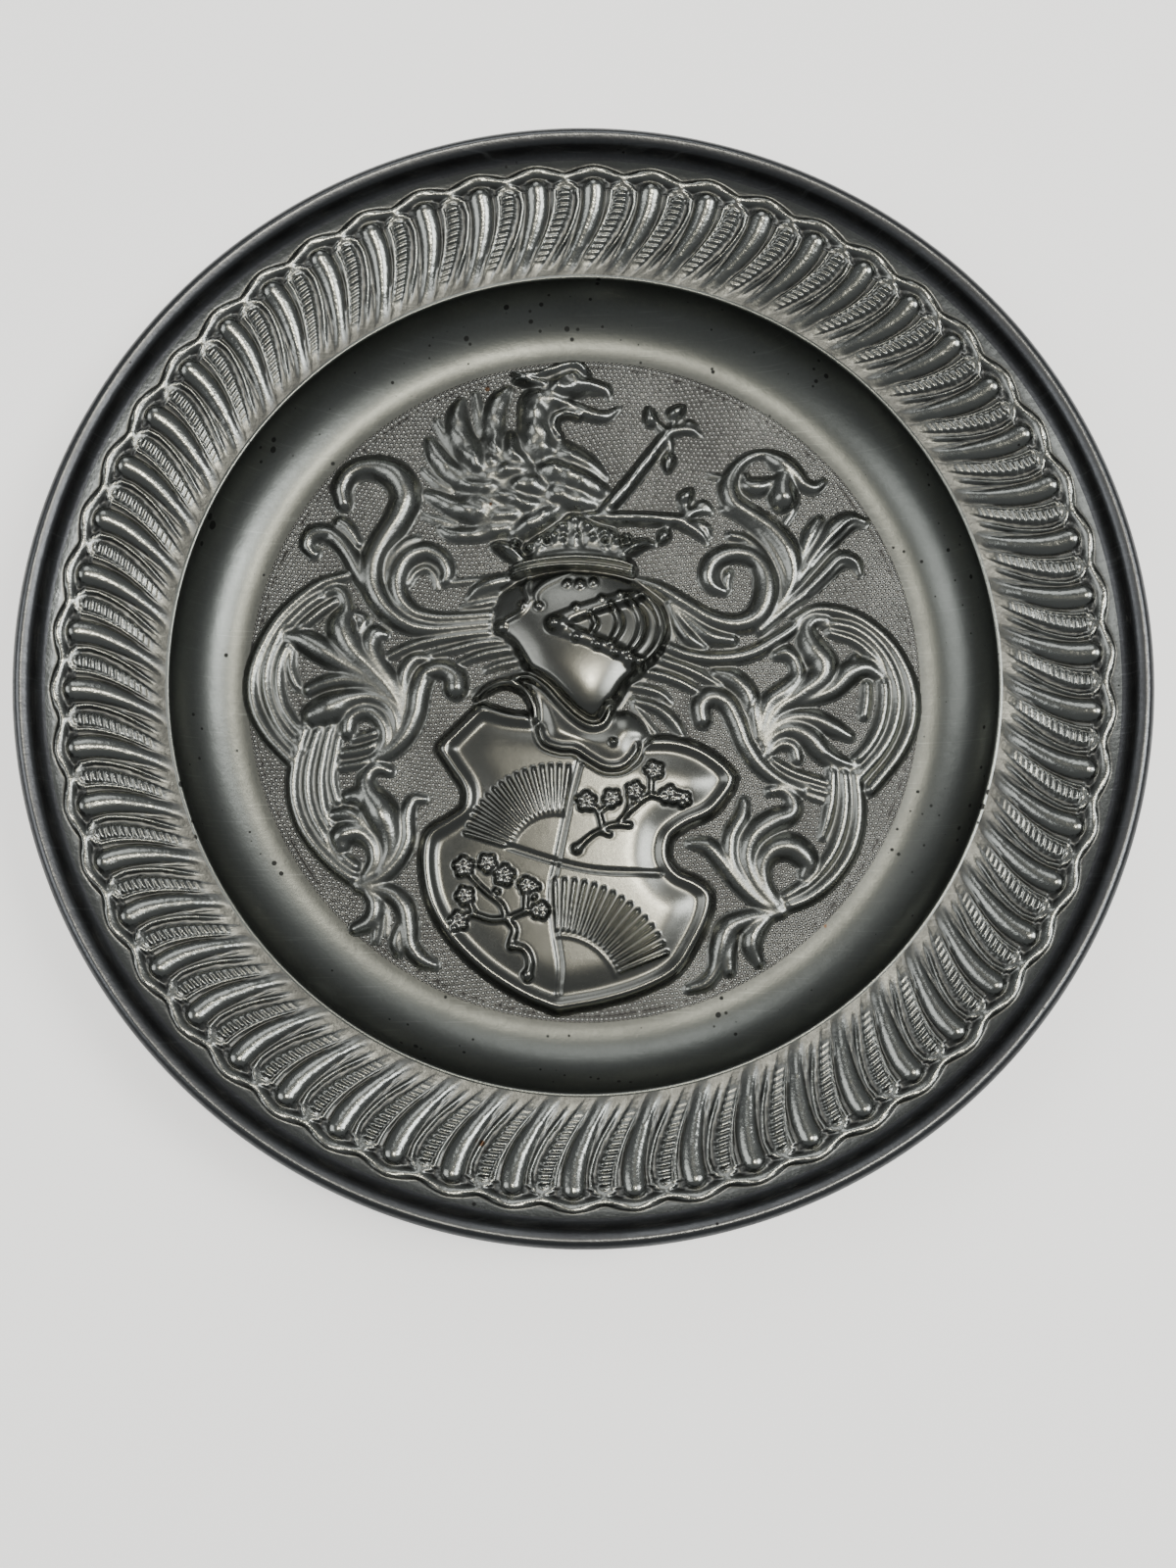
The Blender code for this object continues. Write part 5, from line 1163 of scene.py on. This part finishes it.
# %% [markdown]
# ## The punched ground
# The open ground was struck all over with a ring punch: each blow leaves a small dot inside a round
# groove. There are thousands, so each one is only a low cone and two narrow bands. Rows of them
# follow gentle waves, as the hand did, and one neat row runs just inside the edge. A blow counts only
# where the ground is open, which the relief's own distance field tells.

# %% Where the punch struck
PUNCH_PITCH = 1.36
PUNCH_ROW = 1.2
PUNCH_EDGE_R = 94.7
PUNCH_EDGE_PITCH = 1.32
PUNCH_EDGE_CLEAR = 0.9
PUNCH_SHAKE = 0.09
OPEN_FROM = 0.2  # the distance from the relief at which a blow still finds room
rng = np.random.default_rng(7)
row = np.arange(-82, 83)[:, None]
place = np.arange(-74, 75)[None, :]
# every second row starts half a place later; then two long waves bend the rows and one the columns
strike_x = (place + 0.5 * (row % 2)) * PUNCH_PITCH
strike_y = row * PUNCH_ROW + 1.6 * np.sin(strike_x / 17) + 0.9 * np.sin(strike_x / 7.3 + row / 9)
strike_x = strike_x + 1.1 * np.sin(strike_y / 15) + rng.normal(0, PUNCH_SHAKE, strike_x.shape)
strike_y = strike_y + rng.normal(0, PUNCH_SHAKE, strike_y.shape)
strikes = np.stack([strike_x.ravel(), strike_y.ravel()], axis=-1)
strikes = strikes[np.hypot(*strikes.T) < PUNCH_EDGE_R - PUNCH_EDGE_CLEAR]
edge_angle = around(int(2 * math.pi * PUNCH_EDGE_R / PUNCH_EDGE_PITCH))[0]
edge_row = PUNCH_EDGE_R * np.stack([np.cos(edge_angle), np.sin(edge_angle)], axis=-1)
strikes = np.vstack([strikes, edge_row])
cell_at = np.round((strikes - SHEET_AXIS[0]) / SHEET_PITCH).astype(int)
strikes = strikes[relief.away[cell_at[:, 1], cell_at[:, 0]] > OPEN_FROM]
print(f"{len(strikes)} blows of the punch")

# %% The dots, the grooves and the ground between them
SIDES = 6
FLOOR_COLUMNS = 180
HOLLOW_PER_MM = 1.4
side_angle = around(SIDES)[0]
unit = np.stack([np.cos(side_angle), np.sin(side_angle)], axis=-1)


def struck(name, rings, pole, tone):
    """One small form at every blow: rings of (radius, depth under the ground), and a pole's depth or
    none. The hollow value is the tone plus a share of the depth, so the grooves come out darkest."""
    parts = [np.column_stack([unit * r, np.full(SIDES, -depth)]) for r, depth in rings]
    faces = [ring_faces(len(rings), SIDES)] if len(rings) > 1 else []
    if pole is not None:
        parts.append([(0, 0, -pole)])
        ring = np.arange(SIDES)
        faces.append(np.stack([ring, np.roll(ring, -1), np.full(SIDES, len(rings) * SIDES)], axis=-1))
    form = np.vstack(parts)
    places = np.column_stack([strikes, np.full(len(strikes), GROUND_Z)])
    points = (places[:, None, :] + form[None, :, :]).reshape(-1, 3)
    step = (np.arange(len(strikes)) * len(form))[:, None, None]
    face_sets = [(face[None, :, :] + step).reshape(-1, face.shape[1]) for face in faces]
    hollow = np.tile(tone - HOLLOW_PER_MM * form[:, 2], len(strikes))
    add_piece(name, points, face_sets, hollow)


# the dots' low tone paints their tops bright, a painted highlight on each blow
struck("punched_dots", [(0.38, PUNCH_DEPTH)], -0.03, 0.04)
struck("punched_ground", [(0.56, PUNCH_DEPTH + 0.02), (0.65, 0.0), (0.84, 0.06)], None, 0.58)
floor_profile = [(r, FLOOR_Z) for r in (1, 15, 40, 70, GROUND_R + 0.1)]
add_turned("ground", floor_profile, FLOOR_COLUMNS, np.full(len(floor_profile), 0.95))

# %% [markdown]
# ## Pewter
# Old pewter is a soft grey metal. Its tarnish stays dark in the hollows, where no cloth reaches, and
# handling rubs the ridges bright. A painter would lay a dark wash and wipe it off the high places,
# and the material does the same: it reads how hollow each point is, breaks that up with noise, and
# mixes a dark and a bright pewter. Cloudy patches, small pits and fine wiping marks are effects that
# several finishes share, so each is a node group that is built once.


# %% A small kit for node groups
def new_group(name, inputs, outputs):
    """An empty shader node group with named inputs (name, default) and outputs (name, kind)."""
    group = bpy.data.node_groups.new(name, "ShaderNodeTree")
    for label, value in inputs:
        socket = group.interface.new_socket(label, in_out="INPUT", socket_type="NodeSocketFloat")
        socket.default_value = value
    for label, kind in outputs:
        group.interface.new_socket(label, in_out="OUTPUT", socket_type=f"NodeSocket{kind}")
    print(f"node group {name}")
    return group, group.nodes.new("NodeGroupInput"), group.nodes.new("NodeGroupOutput")


def math_node(tree, operation, a, b=0.0, c=0.0, clamp=False):
    """One calculation; each term is a socket or a number. It gives the socket of its result."""
    node = tree.nodes.new("ShaderNodeMath")
    node.operation = operation
    node.use_clamp = clamp
    for socket, term in zip(node.inputs, (a, b, c)):
        if isinstance(term, (int, float)):
            socket.default_value = term
        else:
            tree.links.new(term, socket)
    return node.outputs["Value"]


def noise_node(tree, vector, scale, detail=3.0, roughness=0.55):
    """Noise over the given vector, with scale in waves per metre."""
    node = tree.nodes.new("ShaderNodeTexNoise")
    tree.links.new(vector, node.inputs["Vector"])
    node.inputs["Scale"].default_value = scale
    node.inputs["Detail"].default_value = detail
    node.inputs["Roughness"].default_value = roughness
    return node.outputs["Fac"]


def place_of(tree):
    """The point's place on the plate, in metres."""
    return tree.nodes.new("ShaderNodeTexCoord").outputs["Object"]


def ramp(tree, value, start, stop):
    """0 below start, 1 above stop and a smooth rise between them."""
    node = tree.nodes.new("ShaderNodeMapRange")
    node.interpolation_type = "SMOOTHSTEP"
    node.inputs["From Min"].default_value = start
    node.inputs["From Max"].default_value = stop
    tree.links.new(value, node.inputs["Value"])
    return node.outputs["Result"]


# %% Group: how dark the tarnish lies
patina, entry, result = new_group("patina", [("Hollow", 0.4), ("Breakup", 0.2)], [("Tarnish", "Float")])
where = place_of(patina)
broad = noise_node(patina, where, 45, 4)
grain = noise_node(patina, where, 900, 3)
mixed = math_node(patina, "ADD", math_node(patina, "MULTIPLY", broad, 0.65),
                  math_node(patina, "MULTIPLY", grain, 0.35))
shift = math_node(patina, "MULTIPLY", math_node(patina, "SUBTRACT", mixed, 0.5),
                  entry.outputs["Breakup"])
laid = math_node(patina, "MULTIPLY_ADD", shift, 2.4, entry.outputs["Hollow"])
patina.links.new(ramp(patina, laid, 0.12, 0.95), result.inputs["Tarnish"])

# %% Group: pits and spots of old dirt
pits, entry, result = new_group("pits", [("Amount", 0.5)], [("Spots", "Float")])
where = place_of(pits)
cells = pits.nodes.new("ShaderNodeTexVoronoi")
cells.inputs["Scale"].default_value = 290
pits.links.new(where, cells.inputs["Vector"])
size = math_node(pits, "MULTIPLY", math_node(pits, "POWER", noise_node(pits, where, 60, 2), 4), 2.2)
size = math_node(pits, "MULTIPLY", size, entry.outputs["Amount"])
inside = math_node(pits, "SUBTRACT", size, cells.outputs["Distance"])
pits.links.new(ramp(pits, inside, 0.0, 0.08), result.inputs["Spots"])

# %% Group: the few rust flecks, at their places on the plate
# x, y and radius in mm
FLECKS = ((-28.5, 87, 0.75), (-27, 51.5, 0.5), (-26.6, -125.2, 0.8), (67, -69, 0.5))
flecks, entry, result = new_group("rust_flecks", [("Size", 1.0)], [("Rust", "Float")])
where = place_of(flecks)
ragged = math_node(flecks, "MULTIPLY", noise_node(flecks, where, 2400, 2), 0.0008)
total = None
for x, y, radius in FLECKS:
    apart = flecks.nodes.new("ShaderNodeVectorMath")
    apart.operation = "MULTIPLY_ADD"
    flecks.links.new(where, apart.inputs[0])
    apart.inputs[1].default_value = (1, 1, 0)
    apart.inputs[2].default_value = (-x / 1000, -y / 1000, 0)
    reach = flecks.nodes.new("ShaderNodeVectorMath")
    reach.operation = "LENGTH"
    flecks.links.new(apart.outputs["Vector"], reach.inputs[0])
    size = math_node(flecks, "MULTIPLY", entry.outputs["Size"], (radius + 0.4) / 1000)
    size = math_node(flecks, "SUBTRACT", size, ragged)
    inside = math_node(flecks, "SUBTRACT", size, reach.outputs["Value"])
    spot = ramp(flecks, inside, -0.0001, 0.0002)
    total = spot if total is None else math_node(flecks, "MAXIMUM", total, spot)
flecks.links.new(total, result.inputs["Rust"])

# %% Group: fine marks from wiping and handling
marks, entry, result = new_group("wiping_marks", [("Strength", 0.5)], [("Marks", "Float")])
where = place_of(marks)
total = None
for turn, stretch in ((0.5, 30), (2.1, 22), (1.2, 40)):
    mapping = marks.nodes.new("ShaderNodeMapping")
    mapping.inputs["Rotation"].default_value = (0, 0, turn)
    mapping.inputs["Scale"].default_value = (1, stretch, 1)
    marks.links.new(where, mapping.inputs["Vector"])
    line = ramp(marks, noise_node(marks, mapping.outputs["Vector"], 55, 2, 0.4), 0.66, 0.74)
    total = line if total is None else math_node(marks, "ADD", total, line)
marks.links.new(math_node(marks, "MULTIPLY", total, entry.outputs["Strength"]), result.inputs["Marks"])


# %% The pewter itself
def placed(tree, group, **values):
    """The group as a node in a material, with its own values for the named inputs."""
    node = tree.nodes.new("ShaderNodeGroup")
    node.node_tree = group
    for label, value in values.items():
        node.inputs[label].default_value = value
    return node


def blend(tree, share, first, second):
    """A colour between two: sockets or (r, g, b)."""
    node = tree.nodes.new("ShaderNodeMix")
    node.data_type = "RGBA"
    tree.links.new(share, node.inputs["Factor"])
    for socket, colour in ((node.inputs["A"], first), (node.inputs["B"], second)):
        if isinstance(colour, tuple):
            socket.default_value = (*colour, 1)
        else:
            tree.links.new(colour, socket)
    return node.outputs["Result"]


RUBBED = 1.25  # a wiping mark is this much brighter than the bright pewter
GRIME = 0.45  # and a dirt spot this share of the dark one
RUST = (0.08, 0.048, 0.03)
CASTING_DEPTH = 0.0004


def pewter(name, bright, dark, smooth, dull, breakup, spots, wiping, bumps):
    """Pewter from its bright and dark colours and their roughness; the other values are the amounts
    of cloudiness, dirt spots, wiping marks and casting roughness."""
    material = bpy.data.materials.new(name)
    material.use_nodes = True
    tree = material.node_tree
    shader = tree.nodes["Principled BSDF"]
    shader.inputs["Metallic"].default_value = 1.0
    hollow = tree.nodes.new("ShaderNodeAttribute")
    hollow.attribute_name = "hollow"
    tarnish = placed(tree, patina, Breakup=breakup)
    tree.links.new(hollow.outputs["Fac"], tarnish.inputs["Hollow"])
    dirt = placed(tree, pits, Amount=spots)
    wiped = placed(tree, marks, Strength=wiping)
    colour = blend(tree, tarnish.outputs["Tarnish"], bright, dark)
    colour = blend(tree, wiped.outputs["Marks"], colour, tuple(RUBBED * c for c in bright))
    colour = blend(tree, dirt.outputs["Spots"], colour, tuple(GRIME * c for c in dark))
    colour = blend(tree, placed(tree, flecks).outputs["Rust"], colour, RUST)
    tree.links.new(colour, shader.inputs["Base Color"])
    rough = math_node(tree, "MULTIPLY_ADD", tarnish.outputs["Tarnish"], dull - smooth, smooth)
    rough = math_node(tree, "MULTIPLY_ADD", dirt.outputs["Spots"], 0.25, rough, clamp=True)
    tree.links.new(rough, shader.inputs["Roughness"])
    where = place_of(tree)
    cast = math_node(tree, "ADD", noise_node(tree, where, 260, 3),
                     math_node(tree, "MULTIPLY", noise_node(tree, where, 1400, 2), 0.35))
    bump = tree.nodes.new("ShaderNodeBump")
    bump.inputs["Strength"].default_value = bumps
    bump.inputs["Distance"].default_value = CASTING_DEPTH
    tree.links.new(cast, bump.inputs["Height"])
    tree.links.new(bump.outputs["Normal"], shader.inputs["Normal"])
    return material


# bright and dark colour, their roughness, cloudiness, spots, wiping marks, casting roughness, pieces
FINISHES = {
    "pewter_relief": ((0.177, 0.185, 0.173), (0.12, 0.124, 0.116), 0.22, 0.42, 0.34, 0.25, 0.18, 0.4,
                      ["mantling_left", "mantling_right", "griffin", "crown"]),
    "pewter_polished": ((0.13, 0.134, 0.123), (0.112, 0.115, 0.107), 0.17, 0.38, 0.25, 0.25, 0.3, 0.05,
                        ["helmet", "gorget", "shield"]),
    "pewter_ground": ((0.27, 0.28, 0.267), (0.033, 0.033, 0.033), 0.28, 0.5, 0.3, 0.2, 0.05, 0.2,
                      ["ground", "punched_dots", "punched_ground"]),
    "pewter_well": ((0.15, 0.16, 0.15), (0.06, 0.063, 0.06), 0.31, 0.44, 0.2, 0.66, 0.3, 0.14,
                    ["well", "lip"]),
    "pewter_rim": ((0.183, 0.192, 0.181), (0.066, 0.068, 0.066), 0.21, 0.43, 0.34, 0.25, 0.2, 0.35,
                   ["flutes_inner", "flutes_outer", "scalloped_cord"]),
    "pewter_edge": ((0.092, 0.097, 0.101), (0.04, 0.04, 0.043), 0.28, 0.5, 0.35, 0.3, 0.35, 0.25,
                    ["rolled_edge"]),
    "pewter_back": ((0.2, 0.2, 0.195), (0.05, 0.05, 0.05), 0.42, 0.55, 0.35, 0.3, 0.2, 0.45,
                    ["back"]),
}
for finish, (*values, names) in FINISHES.items():
    material = pewter(finish, *values)
    for name in names:
        bpy.data.objects[name].data.materials.append(material)
    print(f"{finish}: {', '.join(names)}")

# %% [markdown]
# ## The table, the light and the camera
# The plate lies on a pale table, which glows a little, as a table in a bright room would. Metal shows
# nothing but what it reflects, so the light is chosen for the reflections: a broad soft window on
# either side, a third beyond the top of the plate, and a small warm lamp overhead, whose glow lies on
# the shield. An even, dim room keeps the flat metal grey. The camera looks almost straight down from
# a little below the middle, as close as the picture's perspective asks.

# %% The table
bpy.ops.mesh.primitive_plane_add(size=4)
table = bpy.context.object
table.name = "table"
table_material = bpy.data.materials.new("pale_table")
table_material.use_nodes = True
tree = table_material.node_tree
shader = tree.nodes["Principled BSDF"]
shader.inputs["Roughness"].default_value = 0.55
shader.inputs["Emission Color"].default_value = (1.0, 1.0, 0.99, 1)
shader.inputs["Emission Strength"].default_value = 0.7
tint = noise_node(tree, place_of(tree), 9, 4)
tree.links.new(blend(tree, tint, (0.85, 0.85, 0.84), (0.9, 0.9, 0.89)), shader.inputs["Base Color"])
table.data.materials.append(table_material)


# %% The light
def window(name, place, size, power, colour=(1, 1, 1)):
    """A square soft light at a place in metres, turned to the middle of the plate."""
    lamp = bpy.data.lights.new(name, "AREA")
    lamp.size = size
    lamp.energy = power
    lamp.color = colour
    holder = add_object(name, lamp)
    holder.location = place
    x, y, z = place
    holder.rotation_euler = (math.atan2(math.hypot(x, y), z), 0, math.atan2(y, x) + math.pi / 2)
    print(f"{name}: {size} m wide, {power} W")


window("window_right", (0.7, 0.08, 1.1), size=0.46, power=10)
window("window_left", (-1.0, 0.0, 1.0), size=0.8, power=6.7)
window("window_top", (-0.1, 1.0, 1.1), size=0.6, power=3.3)
window("ceiling_lamp", (0.16, 0.12, 1.5), size=0.2, power=9.4, colour=(1.0, 0.92, 0.77))
world = bpy.data.worlds.new("room")
bpy.context.scene.world = world
world.use_nodes = True
background = world.node_tree.nodes["Background"]
background.inputs["Color"].default_value = (0.95, 0.98, 1.0, 1)
background.inputs["Strength"].default_value = 0.3

# %% The camera
CAMERA_PLACE = (-0.0027, -0.0776, 0.3857)
CAMERA_TILT = (math.radians(7.2), math.radians(-0.54), 0)
FOCAL_LENGTH = 31.5
camera = add_object("camera", bpy.data.cameras.new("camera"))
camera.location = CAMERA_PLACE
camera.rotation_euler = CAMERA_TILT
camera.data.lens = FOCAL_LENGTH
camera.data.clip_start = 0.01
bpy.context.scene.camera = camera
print(f"the camera stands {CAMERA_PLACE[2] / MM:.0f} mm over the table")
